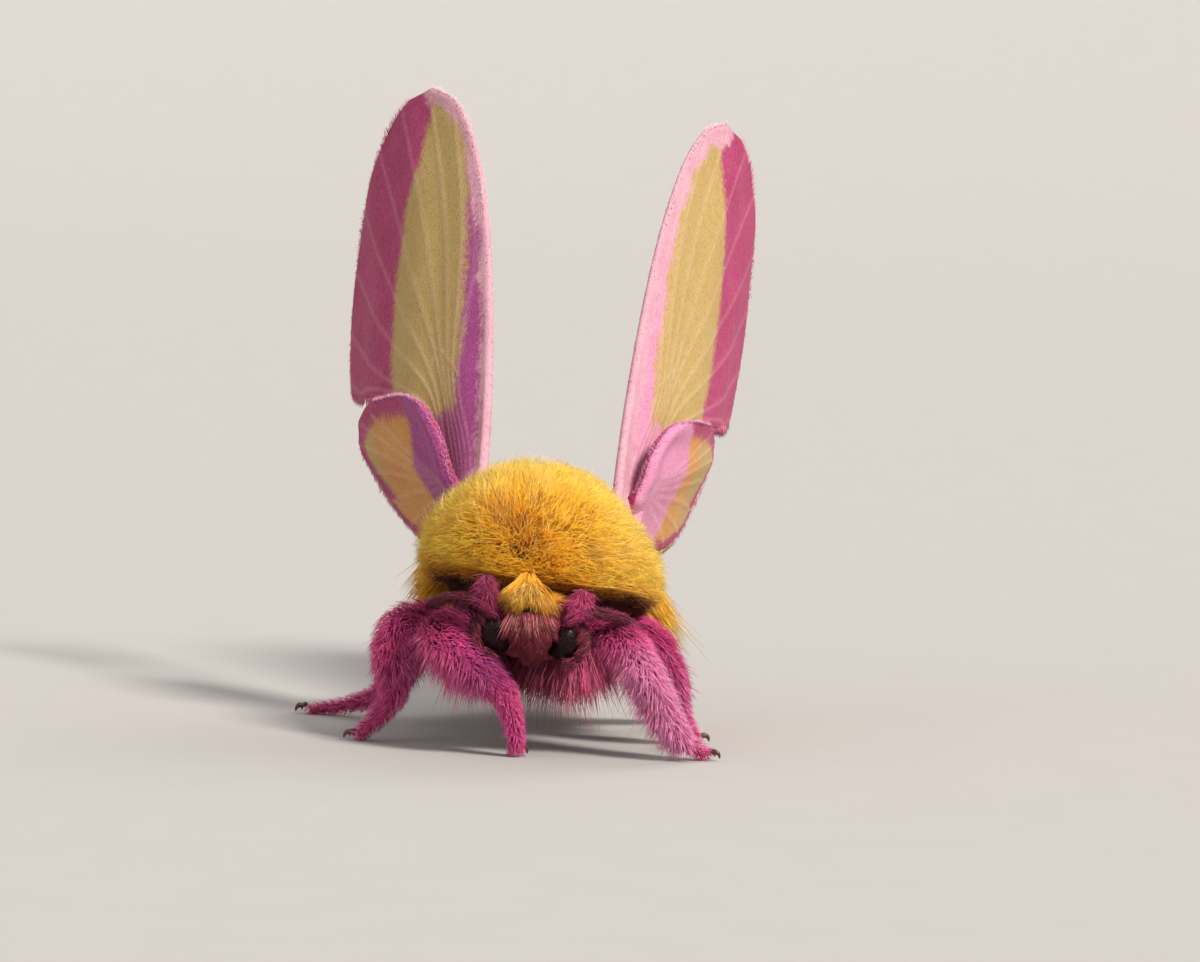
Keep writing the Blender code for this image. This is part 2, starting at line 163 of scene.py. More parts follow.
HEAD_IN = smooth_path((
    (-1.00, 3.55, 0.00, -3.45, -3.45), (-0.65, 3.75, 0.85, -4.00, -2.30), (-0.30, 4.20, 1.32, -4.15, -1.70),
    (0.00, 4.70, 1.48, -4.22, -1.50), (0.30, 5.10, 1.35, -4.30, -1.60), (0.62, 5.45, 0.90, -4.20, -2.10),
    (1.00, 5.65, 0.00, -3.60, -3.60)), 10)
PALP_OUT = smooth_path((
    (-1.00, 3.05, 0.00, -4.72, -4.72), (-0.60, 3.22, 0.38, -5.05, -4.35), (-0.10, 3.75, 0.58, -5.10, -4.10),
    (0.40, 4.35, 0.82, -5.05, -3.90), (0.75, 4.75, 0.85, -4.90, -3.90), (1.00, 5.00, 0.00, -4.40, -4.40)), 10)
PALP_IN = smooth_path((
    (-1.00, 3.25, 0.00, -4.65, -4.65), (-0.60, 3.38, 0.22, -4.82, -4.40), (-0.10, 3.80, 0.36, -4.85, -4.15),
    (0.40, 4.30, 0.55, -4.72, -3.95), (0.75, 4.60, 0.52, -4.55, -3.95), (1.00, 4.80, 0.00, -4.30, -4.30)), 10)
ABDOMEN_OUT = smooth_path((
    (-1.00, 3.40, 0.00, 0.00, 5.00), (-0.75, 3.90, 3.70, 2.40, 5.00), (-0.45, 5.20, 4.75, 3.00, 4.90),
    (-0.15, 7.20, 4.45, 3.00, 4.65), (0.15, 9.20, 3.80, 2.70, 4.25), (0.45, 11.20, 2.90, 2.20, 3.75),
    (0.75, 13.10, 1.70, 1.40, 3.25), (1.00, 14.30, 0.00, 0.00, 2.95)), 10)
ABDOMEN_IN = smooth_path((
    (-1.00, 2.40, 0.00, 0.00, 5.00), (-0.75, 2.90, 2.30, 1.75, 5.00), (-0.45, 4.60, 3.25, 2.30, 4.90),
    (-0.15, 6.50, 3.35, 2.35, 4.65), (0.15, 8.50, 2.90, 2.10, 4.25), (0.45, 10.40, 2.15, 1.65, 3.80),
    (0.75, 12.10, 1.20, 1.00, 3.35), (1.00, 13.10, 0.00, 0.00, 3.10)), 10)


def rows_at(fine, t):
    return [np.interp(t, fine[:, 0], column) for column in fine.T[1:]]


def levelled(fine, n, middle_x, degrees, square, relief=None):
    t = np.arcsin(np.clip(n[:, 2], -1, 1)) / (math.pi / 2)
    z, half, front, back = rows_at(fine, t)
    flat = np.maximum(np.hypot(n[:, 0], n[:, 1]), 1e-9)
    c, s = n[:, 0] / flat, n[:, 1] / flat
    x = half * np.sign(c) * np.abs(c) ** square
    y = (front + back) / 2 + (back - front) / 2 * np.sign(s) * np.abs(s) ** square
    if relief:
        x, y, z = relief(x, y, z, s)
    return bank(np.stack([middle_x + x, y, z], -1), degrees)


def front_relief(x, y, z, s):
    front = (s < 0) & (z > 4.9)
    valley = -0.9 + (8.2 - z) * 0.45
    y = y + np.where(front, 0.35 * np.exp(-((x - valley) / 0.75) ** 2) * np.exp(-((z - 7.0) / 1.3) ** 2), 0)
    lift = (0.85 + 0.07 * x) * np.minimum(1.0, -1.3 * s)
    z = z + np.where(front, lift * np.exp(-((z - 5.2) / 0.9) ** 2), 0)
    return x - 0.10 * np.maximum(0.0, z - 6.5), y, z


def inner_relief(x, y, z, s):
    lift = np.where(s < 0, 0.5 * np.minimum(1.0, -1.3 * s) * np.exp(-((z - 5.2) / 0.9) ** 2), 0)
    return x - 0.10 * np.maximum(0.0, z - 6.5), y, z + lift


def stationed(fine, n):
    t = np.arcsin(np.clip(n[:, 1], -1, 1)) / (math.pi / 2)
    y, half, high, middle = rows_at(fine, t)
    flat = np.maximum(np.hypot(n[:, 0], n[:, 2]), 1e-9)
    return np.stack([-0.28 + half * n[:, 0] / flat, y, middle + high * n[:, 2] / flat], -1)


class Form:
    """A rounded body: points at height h (0 the skin, 1 the coat's tips) over unit vectors n."""

    def __init__(self, outer, inner, chart, along_y=False):
        self.outer, self.inner, self.chart, self.along_y = outer, inner, chart, along_y

    def at(self, n, h):
        low = self.inner(n)
        return low + (self.outer(n) - low) * np.asarray(h)[:, None]

    def cells(self, n):
        """Place of each unit vector on the unwrap of this form: longitude by latitude."""
        up, side = (n[:, 1], n[:, 2]) if self.along_y else (n[:, 2], n[:, 1])
        u = np.arctan2(side, n[:, 0]) / TWO_PI + 0.5
        v = np.arcsin(np.clip(up, -1, 1)) / math.pi + 0.5
        low_u, low_v, wide, high = self.chart
        return np.stack([low_u + u * wide, low_v + v * high], -1)

    def scatter(self, count, density):
        """Unit vectors spread evenly over the form's area, times density(n)."""
        n = normed(rng.normal(size=(count * 14, 3)))
        e1 = normed(np.cross(n, np.array((0.3, 0.2, 0.93))))
        e2 = np.cross(n, e1)
        half = np.full(len(n), 0.5)
        base = self.at(n, half)
        area = np.linalg.norm(np.cross(self.at(normed(n + 1e-3 * e1), half) - base,
                                       self.at(normed(n + 1e-3 * e2), half) - base), axis=1) * 1e6
        weight = area * density(n)
        order = rng.random(len(n)) ** (1 / np.maximum(weight / weight.max(), 1e-9))
        return n[np.argsort(-order)[:count]]


THORAX = Form(lambda n: levelled(THORAX_OUT, n, 0.0, 9.0, 0.94, front_relief),
              lambda n: levelled(THORAX_IN, n, 0.0, 9.0, 0.97, inner_relief), (0.01, 0.01, 0.47, 0.47))
HEAD = Form(lambda n: levelled(HEAD_OUT, n, 0.12, 4.0, 0.95),
            lambda n: levelled(HEAD_IN, n, 0.12, 4.0, 0.97), (0.50, 0.32, 0.20, 0.16))
PALPS = Form(lambda n: levelled(PALP_OUT, n, 0.12, 4.0, 1.0),
             lambda n: levelled(PALP_IN, n, 0.12, 4.0, 1.0), (0.72, 0.32, 0.10, 0.16))
ABDOMEN = Form(lambda n: stationed(ABDOMEN_OUT, n), lambda n: stationed(ABDOMEN_IN, n),
               (0.50, 0.01, 0.47, 0.29), along_y=True)

LEGS = {
    "leg_fore_right": ((-1.2, -1.2, 3.9, 0.90), (-2.3, -2.2, 4.15, 0.95), (-3.3, -3.1, 4.15, 0.90),
                       (-2.2, -4.0, 3.35, 0.85), (-0.95, -4.5, 2.35, 0.60), (-0.5, -4.5, 1.20, 0.44),
                       (-0.4, -4.2, 0.10, 0.36)),
    "leg_fore_left": ((1.3, -1.2, 3.8, 0.90), (2.2, -2.3, 4.20, 0.95), (3.15, -3.1, 4.15, 0.85),
                      (3.95, -3.7, 3.20, 0.78), (4.55, -3.9, 2.10, 0.72), (5.15, -3.9, 1.15, 0.60),
                      (5.75, -3.7, 0.55, 0.40), (6.35, -3.5, 0.10, 0.34)),
    "leg_mid_right": ((-1.9, 0.9, 3.7, 0.90), (-3.6, 0.2, 4.20, 0.90), (-4.9, -0.5, 4.05, 0.88),
                      (-5.1, -0.9, 2.90, 0.85), (-5.1, -1.0, 1.70, 0.60), (-5.7, -0.9, 0.80, 0.44),
                      (-6.4, -0.7, 0.10, 0.36)),
    "leg_mid_left": ((2.0, 0.9, 3.6, 0.90), (3.2, 0.4, 3.95, 0.88), (4.1, 0.1, 3.75, 0.82),
                     (4.7, 0.3, 2.55, 0.78), (5.05, 0.8, 1.40, 0.56), (5.35, 1.2, 0.70, 0.42),
                     (5.75, 1.6, 0.10, 0.34)),
    "leg_hind_right": ((-1.8, 3.3, 3.5, 0.85), (-3.2, 4.0, 3.30, 0.80), (-4.5, 4.7, 3.40, 0.78),
                       (-5.2, 5.6, 2.10, 0.70), (-6.2, 6.4, 0.95, 0.50), (-7.5, 7.1, 0.42, 0.38),
                       (-9.0, 7.6, 0.10, 0.34)),
    "leg_hind_left": ((1.8, 3.3, 3.4, 0.85), (3.0, 4.4, 3.20, 0.80), (3.9, 5.4, 3.20, 0.78),
                      (4.15, 6.5, 2.20, 0.72), (4.4, 7.6, 1.15, 0.52), (4.6, 8.5, 0.55, 0.40),
                      (4.8, 9.3, 0.10, 0.34)),
}
ANTENNA = ((1.05, -4.15, 4.75, 0.30), (1.40, -4.62, 5.10, 0.34), (1.85, -4.70, 5.40, 0.36),
           (2.45, -4.45, 5.42, 0.36), (3.05, -3.85, 5.28, 0.34), (3.50, -3.10, 5.05, 0.30),
           (3.75, -2.30, 4.85, 0.26))


class Limb:
    """A bent tube: points at share u along it, angle a round it and height h over its skin."""

    def __init__(self, rows, skin, chart):
        path = smooth_path(rows, 10)
        self.arc = arc_of(path)
        self.length = self.arc[-1]
        self.arc = self.arc / self.length
        self.path, self.radius, self.chart = path[:, :3], path[:, 3], chart
        self.skin = skin(self.radius)
        tangent = normed(np.gradient(self.path, axis=0))
        first = normed(np.cross(tangent[0], np.array((0.0, 0.0, 1.0))))
        sides = [first]
        for t in tangent[1:]:
            sides.append(normed(sides[-1] - np.dot(sides[-1], t) * t))
        self.tangent, self.side = tangent, np.array(sides)
        self.other = np.cross(self.tangent, self.side)

    def _at(self, rows, u):
        return np.stack([np.interp(u, self.arc, column) for column in rows.T], -1)

    def middle(self, u):
        return self._at(self.path, u)

    def outward(self, u, a):
        return normed(self._at(self.side, u) * np.cos(a)[:, None] + self._at(self.other, u) * np.sin(a)[:, None])

    def at(self, u, a, h):
        u = np.clip(u, 0, 1)
        low, high = np.interp(u, self.arc, self.skin), np.interp(u, self.arc, self.radius)
        return self.middle(u) + self.outward(u, a) * (low + (high - low) * h)[:, None]

    def cells(self, u, a):
        low_u, low_v, wide, high = self.chart
        return np.stack([low_u + (a / TWO_PI % 1.0) * wide, low_v + u * high], -1)


def antenna_rows(side):
    rows = np.array(ANTENNA)
    rows[:, 0] = 0.12 + side * rows[:, 0]
    rows[:, :3] = bank(rows[:, :3], 5.0)
    return rows


LIMBS = {name: Limb(rows, lambda r: np.clip(r * 0.50, 0.17, 0.42) - 0.02, (0.01 + 0.16 * i, 0.50, 0.14, 0.30))
         for i, (name, rows) in enumerate(LEGS.items())}
FEELERS = {side: Limb(antenna_rows(sign), lambda r: np.full(len(r), 0.11), (0.01 + 0.2 * i, 0.82, 0.08, 0.14))
           for i, (side, sign) in enumerate((("right", -1), ("left", 1)))}


# ================================================================ materials
def shader_tree(name, **constants):
    material = bpy.data.materials.new(name)
    material.use_nodes = True
    nodes, links = material.node_tree.nodes, material.node_tree.links
    shader = nodes["Principled BSDF"]
    for socket, value in constants.items():
        shader.inputs[socket.replace("_", " ")].default_value = value
    return material, nodes, links, shader


def node(nodes, kind, **settings):
    made = nodes.new(kind)
    for key, value in settings.items():
        if key.startswith("in_"):
            made.inputs[key[3:].replace("_", " ")].default_value = value
        else:
            setattr(made, key, value)
    return made


def attribute(nodes, name, colour=False):
    made = nodes.new("ShaderNodeAttribute")
    made.attribute_name = name
    return made.outputs["Color" if colour else "Fac"]


def maths(nodes, links, operation, a, b=None, clamp=False):
    made = nodes.new("ShaderNodeMath")
    made.operation, made.use_clamp = operation, clamp
    for i, value in enumerate((a, b)):
        if value is None:
            continue
        if isinstance(value, (int, float)):
            made.inputs[i].default_value = value
        else:
            links.new(value, made.inputs[i])
    return made.outputs[0]


def ramp(nodes, links, value, low, high, out_low=0.0, out_high=1.0):
    made = nodes.new("ShaderNodeMapRange")
    made.interpolation_type = "SMOOTHSTEP"
    for i, number in ((1, low), (2, high), (3, out_low), (4, out_high)):
        made.inputs[i].default_value = number
    links.new(value, made.inputs[0])
    return made.outputs[0]


def blend_colours(nodes, links, share, a, b, mode="MIX"):
    made = nodes.new("ShaderNodeMix")
    made.data_type, made.blend_type = "RGBA", mode
    for socket, value in ((0, share), (6, a), (7, b)):
        if isinstance(value, (int, float)):
            made.inputs[socket].default_value = value
        elif isinstance(value, tuple):
            made.inputs[socket].default_value = (*value, 1.0)
        else:
            links.new(value, made.inputs[socket])
    return made.outputs[2]


def noise(nodes, links, scale, detail=3.0, rough=0.55, distortion=0.0, vector=None):
    made = node(nodes, "ShaderNodeTexNoise")
    made.inputs["Scale"].default_value = scale
    made.inputs["Detail"].default_value = detail
    made.inputs["Roughness"].default_value = rough
    made.inputs["Distortion"].default_value = distortion
    if vector is None:
        vector = node(nodes, "ShaderNodeTexCoord").outputs["Object"]
    links.new(vector, made.inputs["Vector"])
    return made.outputs["Fac"]


def bump(nodes, links, shader, height, distance, strength=1.0):
    made = node(nodes, "ShaderNodeBump")
    made.inputs["Strength"].default_value = strength
    made.inputs["Distance"].default_value = distance
    links.new(height, made.inputs["Height"])
    links.new(made.outputs["Normal"], shader.inputs["Normal"])


def coat_material(name, sheen_tint, rough_low=0.45, rough_high=0.75):
    material, nodes, links, shader = shader_tree(
        name, Sheen_Weight=0.05, Sheen_Roughness=0.40, Specular_IOR_Level=0.10)
    shader.inputs["Sheen Tint"].default_value = (*sheen_tint, 1.0)
    base = attribute(nodes, "coat", colour=True)
    patch = ramp(nodes, links, noise(nodes, links, 900.0, 3.0), 0.30, 0.70)
    fine = ramp(nodes, links, noise(nodes, links, 9000.0, 2.0), 0.30, 0.70)
    darker = blend_colours(nodes, links, 1.0, base, (0.90, 0.84, 0.80), "MULTIPLY")
    colour = blend_colours(nodes, links, patch, darker, base)
    paler = blend_colours(nodes, links, 0.03, colour, (1.0, 0.93, 0.80))
    colour = blend_colours(nodes, links, fine, colour, paler)
    links.new(colour, shader.inputs["Base Color"])
    links.new(ramp(nodes, links, fine, 0.0, 1.0, rough_low, rough_high), shader.inputs["Roughness"])
    bump(nodes, links, shader, fine, 0.00001, 0.5)
    return material


def skin_material():
    material, nodes, links, shader = shader_tree("moth_skin", Specular_IOR_Level=0.25, Sheen_Weight=0.2)
    base = attribute(nodes, "coat", colour=True)
    patch = ramp(nodes, links, noise(nodes, links, 700.0, 5.0), 0.30, 0.70)
    hairy = noise(nodes, links, 6000.0, 6.0, 0.7)
    darker = blend_colours(nodes, links, 1.0, base, (0.62, 0.55, 0.55), "MULTIPLY")
    links.new(blend_colours(nodes, links, patch, darker, base), shader.inputs["Base Color"])
    links.new(ramp(nodes, links, hairy, 0.3, 0.7, 0.6, 0.9), shader.inputs["Roughness"])
    bump(nodes, links, shader, hairy, 0.00006, 0.8)
    return material


def eye_material():
    material, nodes, links, shader = shader_tree(
        "moth_eye", Coat_Weight=0.04, Coat_Roughness=0.15, Specular_IOR_Level=0.10)
    cells = node(nodes, "ShaderNodeTexVoronoi", feature="F1")
    cells.inputs["Scale"].default_value = 14000.0
    links.new(node(nodes, "ShaderNodeTexCoord").outputs["Object"], cells.inputs["Vector"])
    dome = ramp(nodes, links, cells.outputs["Distance"], 0.0, 0.6, 1.0, 0.0)
    links.new(blend_colours(nodes, links, dome, (0.006, 0.002, 0.002), (0.026, 0.007, 0.008)),
              shader.inputs["Base Color"])
    links.new(ramp(nodes, links, noise(nodes, links, 1500.0), 0.3, 0.7, 0.28, 0.42), shader.inputs["Roughness"])
    bump(nodes, links, shader, dome, 0.00001, 0.5)
    return material


def claw_material():
    material, nodes, links, shader = shader_tree("moth_claw", Specular_IOR_Level=0.5, Coat_Weight=0.25)
    streak = ramp(nodes, links, noise(nodes, links, 5000.0, 4.0), 0.3, 0.7)
    links.new(blend_colours(nodes, links, streak, (0.035, 0.010, 0.008), (0.13, 0.035, 0.022)),
              shader.inputs["Base Color"])
    links.new(ramp(nodes, links, streak, 0.0, 1.0, 0.25, 0.45), shader.inputs["Roughness"])
    return material


def wing_material():
    """Powdery scales. Colours are laid by distance from the wing's own edges."""
    material, nodes, links, shader = shader_tree(
        "moth_wing", Sheen_Weight=0.06, Sheen_Roughness=0.5, Specular_IOR_Level=0.15,
        Subsurface_Weight=0.0, Transmission_Weight=0.0)
    shader.inputs["Sheen Tint"].default_value = (1.0, 0.86, 0.90, 1.0)
    soft = noise(nodes, links, 700.0, 4.0, 0.6)
    ragged = noise(nodes, links, 5200.0, 3.0, 0.7)
    wander = maths(nodes, links, "ADD",
                   maths(nodes, links, "MULTIPLY", maths(nodes, links, "SUBTRACT", soft, 0.5), 0.9),
                   maths(nodes, links, "MULTIPLY", maths(nodes, links, "SUBTRACT", ragged, 0.5), 0.9))

    def edge(name, low, high):
        return ramp(nodes, links, maths(nodes, links, "ADD", attribute(nodes, name), wander), low, high)

    # Each mask attribute is positive inside its colour's area and negative outside, in millimetres.
    pink_band = edge("pink", -0.30, 0.30)
    strip = edge("strip", -0.28, 0.28)
    rim = edge("rim", -0.20, 0.24)
    # the warm mask gives orange; on the hindwing away from the key light its reach is partly painted shade
    orange = edge("warm", -0.9, 0.9)
    lobe = edge("lobe", -0.25, 0.35)
    cream = blend_colours(nodes, links, soft, (0.40, 0.262, 0.075), (0.47, 0.330, 0.122))
    cream = blend_colours(nodes, links, orange, cream,
                          blend_colours(nodes, links, soft, (0.50, 0.19, 0.04), (0.60, 0.32, 0.095)))
    pink = blend_colours(nodes, links, soft, (0.28, 0.016, 0.078), (0.43, 0.055, 0.160))
    violet = blend_colours(nodes, links, soft, (0.24, 0.028, 0.14), (0.39, 0.080, 0.25))
    pale = blend_colours(nodes, links, soft, (0.50, 0.22, 0.30), (0.66, 0.37, 0.42))
    violet = blend_colours(nodes, links, attribute(nodes, "lit"), violet,
                           blend_colours(nodes, links, soft, (0.62, 0.22, 0.37), (0.76, 0.36, 0.49)))
    colour = blend_colours(nodes, links, pink_band, cream, pink)
    colour = blend_colours(nodes, links, strip, colour, violet)
    colour = blend_colours(nodes, links, lobe, colour, violet)
    colour = blend_colours(nodes, links, rim, colour, pale)
    vein = attribute(nodes, "vein")
    paler_vein = blend_colours(nodes, links, 0.35, colour, (0.93, 0.62, 0.60))
    colour = blend_colours(nodes, links, maths(nodes, links, "MULTIPLY", vein, 0.30), colour, paler_vein)
    # rows of tiny scales across the wing
    rows = node(nodes, "ShaderNodeTexVoronoi", feature="F1")
    rows.inputs["Scale"].default_value = 11.0
    place = nodes.new("ShaderNodeCombineXYZ")
    links.new(attribute(nodes, "span"), place.inputs[0])
    links.new(maths(nodes, links, "MULTIPLY", attribute(nodes, "chord"), 1.9), place.inputs[1])
    links.new(place.outputs[0], rows.inputs["Vector"])
    grain = ramp(nodes, links, rows.outputs["Distance"], 0.05, 0.65, 1.0, 0.0)
    speck = nodes.new("ShaderNodeSeparateColor")
    links.new(rows.outputs["Color"], speck.inputs[0])
    darker = blend_colours(nodes, links, 1.0, colour, (0.84, 0.78, 0.81), "MULTIPLY")
    paler = blend_colours(nodes, links, 0.035, colour, (1.0, 0.90, 0.85))
    colour = blend_colours(nodes, links, ramp(nodes, links, speck.outputs[0], 0.0, 0.45, 1.0, 0.0), colour, darker)
    colour = blend_colours(nodes, links, ramp(nodes, links, speck.outputs[1], 0.60, 1.0), colour, paler)
    links.new(colour, shader.inputs["Base Color"])
    links.new(ramp(nodes, links, grain, 0.0, 1.0, 0.80, 0.55), shader.inputs["Roughness"])
    bump(nodes, links, shader, grain, 0.00003, 0.4)
    return material


# ================================================================ hairs
def hairs(name, paths, radius, root, tip, cells, material, slot, flat=0.7, taper=0.72, rise=0.55):
    """Closed three-sided tapering hairs along paths (count, rings, 3), most under 12,000 to a piece."""
    count, rings = paths.shape[:2]
    tangent = normed(np.gradient(paths, axis=1))
    e1 = normed(np.cross(tangent[:, 0], rng.normal(size=(count, 3))))
    share = np.linspace(0, 1, rings)
    width = 1 - taper * share ** 1.6
    radius = np.broadcast_to(np.asarray(radius, float), (count,))
    verts = []
    for i in range(rings - 1):
        side = normed(e1 - (e1 * tangent[:, i]).sum(1, keepdims=True) * tangent[:, i])
        other = np.cross(tangent[:, i], side) * flat
        for j in range(3):
            turn = TWO_PI * j / 3
            verts.append(paths[:, i] + (side * math.cos(turn) + other * math.sin(turn)) * (radius * width[i])[:, None])
    verts.append(paths[:, -1])
    verts = np.stack(verts, 1)
    per = verts.shape[1]
    ring_of = np.r_[np.repeat(np.arange(rings - 1), 3), rings - 1]
    side_of = np.r_[np.tile(np.arange(3), rings - 1), 1]
    shade = share[ring_of] ** rise
    colour = root[:, None, :] * (1 - shade)[None, :, None] + tip[:, None, :] * shade[None, :, None]
    loops, starts, total = [2, 1, 0], [0], 3
    for i in range(rings - 2):
        for j in range(3):
            k = (j + 1) % 3
            starts.append(total)
            loops += [3 * i + j, 3 * i + k, 3 * i + 3 + k, 3 * i + 3 + j]
            total += 4
    for j in range(3):
        starts.append(total)
        loops += [3 * (rings - 2) + j, 3 * (rings - 2) + (j + 1) % 3, per - 1]
        total += 3
    loops, starts = np.array(loops), np.array(starts)
    cell = 0.003
    corner = np.floor(cells / cell) * cell
    patch_u = cell * (0.12 + 0.76 * share[ring_of])
    patch_v = cell * (0.12 + 0.38 * side_of)
    triangles = 1 + 6 * (rings - 2) + 3
    pieces = max(1, math.ceil(count * triangles / 190000))
    made = []
    for k, some in enumerate(np.array_split(np.arange(count), pieces)):
        n = len(some)
        mesh = bpy.data.meshes.new(name)
        mesh.vertices.add(n * per)
        mesh.vertices.foreach_set("co", placed(verts[some].reshape(-1, 3)).astype(np.float32).ravel())
        mesh.loops.add(n * total)
        index = (np.arange(n)[:, None] * per + loops[None, :]).ravel()
        mesh.loops.foreach_set("vertex_index", index.astype(np.int32))
        mesh.polygons.add(n * len(starts))
        mesh.polygons.foreach_set("loop_start", (np.arange(n)[:, None] * total + starts[None, :]).ravel().astype(np.int32))
        mesh.update(calc_edges=True)
        mesh.shade_smooth()
        layer = mesh.uv_layers.new(name="OFBake")
        uv = np.empty((n, total, 2), np.float32)
        uv[..., 0] = corner[some, 0][:, None] + patch_u[loops][None, :]
        uv[..., 1] = corner[some, 1][:, None] + patch_v[loops][None, :]
        layer.uv.foreach_set("vector", uv.ravel())
        obj = bpy.data.objects.new(f"{name}_{k + 1}" if pieces > 1 else name, mesh)
        bpy.context.scene.collection.objects.link(obj)
        colour_attribute(obj, "coat", colour[some].reshape(-1, 3))
        mesh.materials.append(material)
        made.append(finish_piece(obj, slot))
    return made


def clumps(points, count, chunk=4000):
    """For each point, the index of the nearest of `count` of them."""
    chosen = rng.choice(len(points), count, replace=False)
    centres = points[chosen]
    square = (centres ** 2).sum(1)
    nearest = np.empty(len(points), int)
    for start in range(0, len(points), chunk):
        some = points[start:start + chunk]
        nearest[start:start + chunk] = np.argmin(square[None, :] - 2 * some @ centres.T, axis=1)
    return chosen[nearest]


def varied(colour, amount, count):
    """Hair to hair variation in brightness and warmth."""
    bright = 1 + amount * rng.normal(size=(count, 1))
    warm = 1 + 0.5 * amount * rng.normal(size=(count, 3))
    return np.clip(colour * bright * warm, 0.002, 0.98)


def body_hairs(form, n, comb, reach, height, gather, clump_count, wave=0.05, rings=4, lift=0.62, loose=0.06,
               hang=None):
    """Paths of hairs rooted at unit vectors n, lying along comb(n) and rising to the coat's surface.

    Where hang is over 0, a hair that would turn in under the body's edge falls straight down instead."""
    count = len(n)
    drift = comb(n)
    drift = drift - (drift * n).sum(1, keepdims=True) * n
    locks = clumps(n, max(12, clump_count // 9))
    stray = (0.07 * rng.normal(size=(count, 3)))[locks]
    ends = normed(n + drift * (reach * (1 + 0.22 * rng.normal(size=count)))[:, None]
                  + loose * rng.normal(size=(count, 3)) + stray)
    group = clumps(n, clump_count)
    together = normed(ends[group] + 0.25 * (n - n[group]))
    pull = gather * (0.4 + 0.6 * rng.random(count))
    ends = normed(ends + (together - ends) * pull[:, None])
    group_height = 1 + (0.05 * rng.normal(size=count))[group] + (0.05 * rng.normal(size=count))[locks]
    top = np.clip(height * group_height * (0.72 + 0.32 * rng.random(count) ** 0.6), 0.2, 1.18)
    share = np.linspace(0, 1, rings)
    side = normed(np.cross(ends - n + 1e-6, n))
    swing = rng.normal(size=count) * wave + (rng.normal(size=count) * wave)[group]
    paths = []
    for t in share:
        at = normed(n + (ends - n) * t ** 1.15 + side * (swing * math.sin(math.pi * t))[:, None])
        paths.append(form.at(at, top * t ** lift - 0.06 * (1 - t)))
    if hang is not None:
        for i in range(1, rings):
            way = paths[i] - paths[i - 1]
            before, after = (np.hypot(q[:, 0], q[:, 1] - 0.4) for q in (paths[i - 1], paths[i]))
            free = hang * step(0.02, -0.04, after - before)
            fall = np.stack([0.15 * way[:, 0], 0.15 * way[:, 1], -0.72 * np.linalg.norm(way, axis=1)], -1)
            moved = paths[i - 1] + way * (1 - free)[:, None] + fall * free[:, None]
            shift = moved - paths[i]
            for j in range(i, rings):
                paths[j] = paths[j] + shift
    return np.stack(paths, 1), group


def limb_hairs(limb, u, a, length, height, gather, clump_count, rings=3, lift=0.6, wave=0.25):
    count = len(u)
    reach = length / limb.length * (1 + 0.30 * rng.normal(size=count))
    root = limb.at(u, a, np.zeros(count))
    group = clumps(root, min(clump_count, count))
    end_u = u + np.clip(reach, 0.005, None)
    end_a = a + wave * rng.normal(size=count)
    pull = gather * (0.4 + 0.6 * rng.random(count))
    turn = (end_a[group] - end_a + math.pi) % TWO_PI - math.pi
    end_a = end_a + turn * pull
    end_u = end_u + (end_u[group] + 0.3 * (u - u[group]) - end_u) * pull
    top = height * (0.65 + 0.55 * rng.random(count))
    paths = []
    for t in np.linspace(0, 1, rings):
        beyond = np.maximum(u + (end_u - u) * t - 1.0, 0) * limb.length
        p = limb.at(u + (end_u - u) * t, a + (end_a - a) * t, top * t ** lift - 0.15 * (1 - t))
        p[:, 2] -= beyond
        p[:, 2] = np.maximum(p[:, 2], 0.03)
        paths.append(p)
    return np.stack(paths, 1), group


def thrown_hairs(root, direction, length, bow, gather, clump_count, jitter=0.16, rings=4):
    """Paths of hairs from root points along direction, bent by bow (mm) at their middle."""
    count = len(root)
    group = clumps(root, min(clump_count, count))
    length = length * (1 + 0.20 * rng.normal(size=count)) * (1 + (0.16 * rng.normal(size=count))[group])
    end = root + normed(direction + jitter * rng.normal(size=(count, 3))) * np.maximum(length, 0.05)[:, None]
    pull = gather * (0.4 + 0.6 * rng.random(count))
    end += (end[group] + 0.35 * (root - root[group]) - end) * pull[:, None]
    bend = np.asarray(bow, float) * (1 + 0.3 * rng.normal(size=(count, 1)))
    paths = np.stack([root + (end - root) * t + bend * math.sin(math.pi * t) for t in np.linspace(0, 1, rings)], 1)
    paths[..., 2] = np.maximum(paths[..., 2], 0.03)
    return paths


# ================================================================ the skin
def grid_closed(point, rows, columns):
    """A closed surface from point(lat share -1 to 1, turn share 0 to 1), one vertex at each pole."""
    lat = np.linspace(-1, 1, rows + 2)[1:-1]
    turn = np.arange(columns) / columns
    la, tu = np.meshgrid(lat, turn, indexing="ij")
    points = point(la.ravel(), tu.ravel())
    low, high = point(np.array([-1.0]), np.array([0.0])), point(np.array([1.0]), np.array([0.0]))
    points = np.vstack([points, low, high])
    faces, last = [], rows * columns
    for i in range(rows - 1):
        for j in range(columns):
            k = (j + 1) % columns
            faces.append((i * columns + j, i * columns + k, (i + 1) * columns + k, (i + 1) * columns + j))
    for j in range(columns):
        k = (j + 1) % columns
        faces.append((j, last, k))
        faces.append(((rows - 1) * columns + k, last + 1, (rows - 1) * columns + j))
    return points, faces


def form_surface(form, rows=40, columns=56):
    def point(lat, turn):
        v, a = lat * math.pi / 2, turn * TWO_PI
        up, c, s = np.sin(v), np.cos(v) * np.cos(a), np.cos(v) * np.sin(a)
        n = np.stack([s, up, c] if form.along_y else [c, s, up], -1)
        return form.inner(n)
    return grid_closed(point, rows, columns)


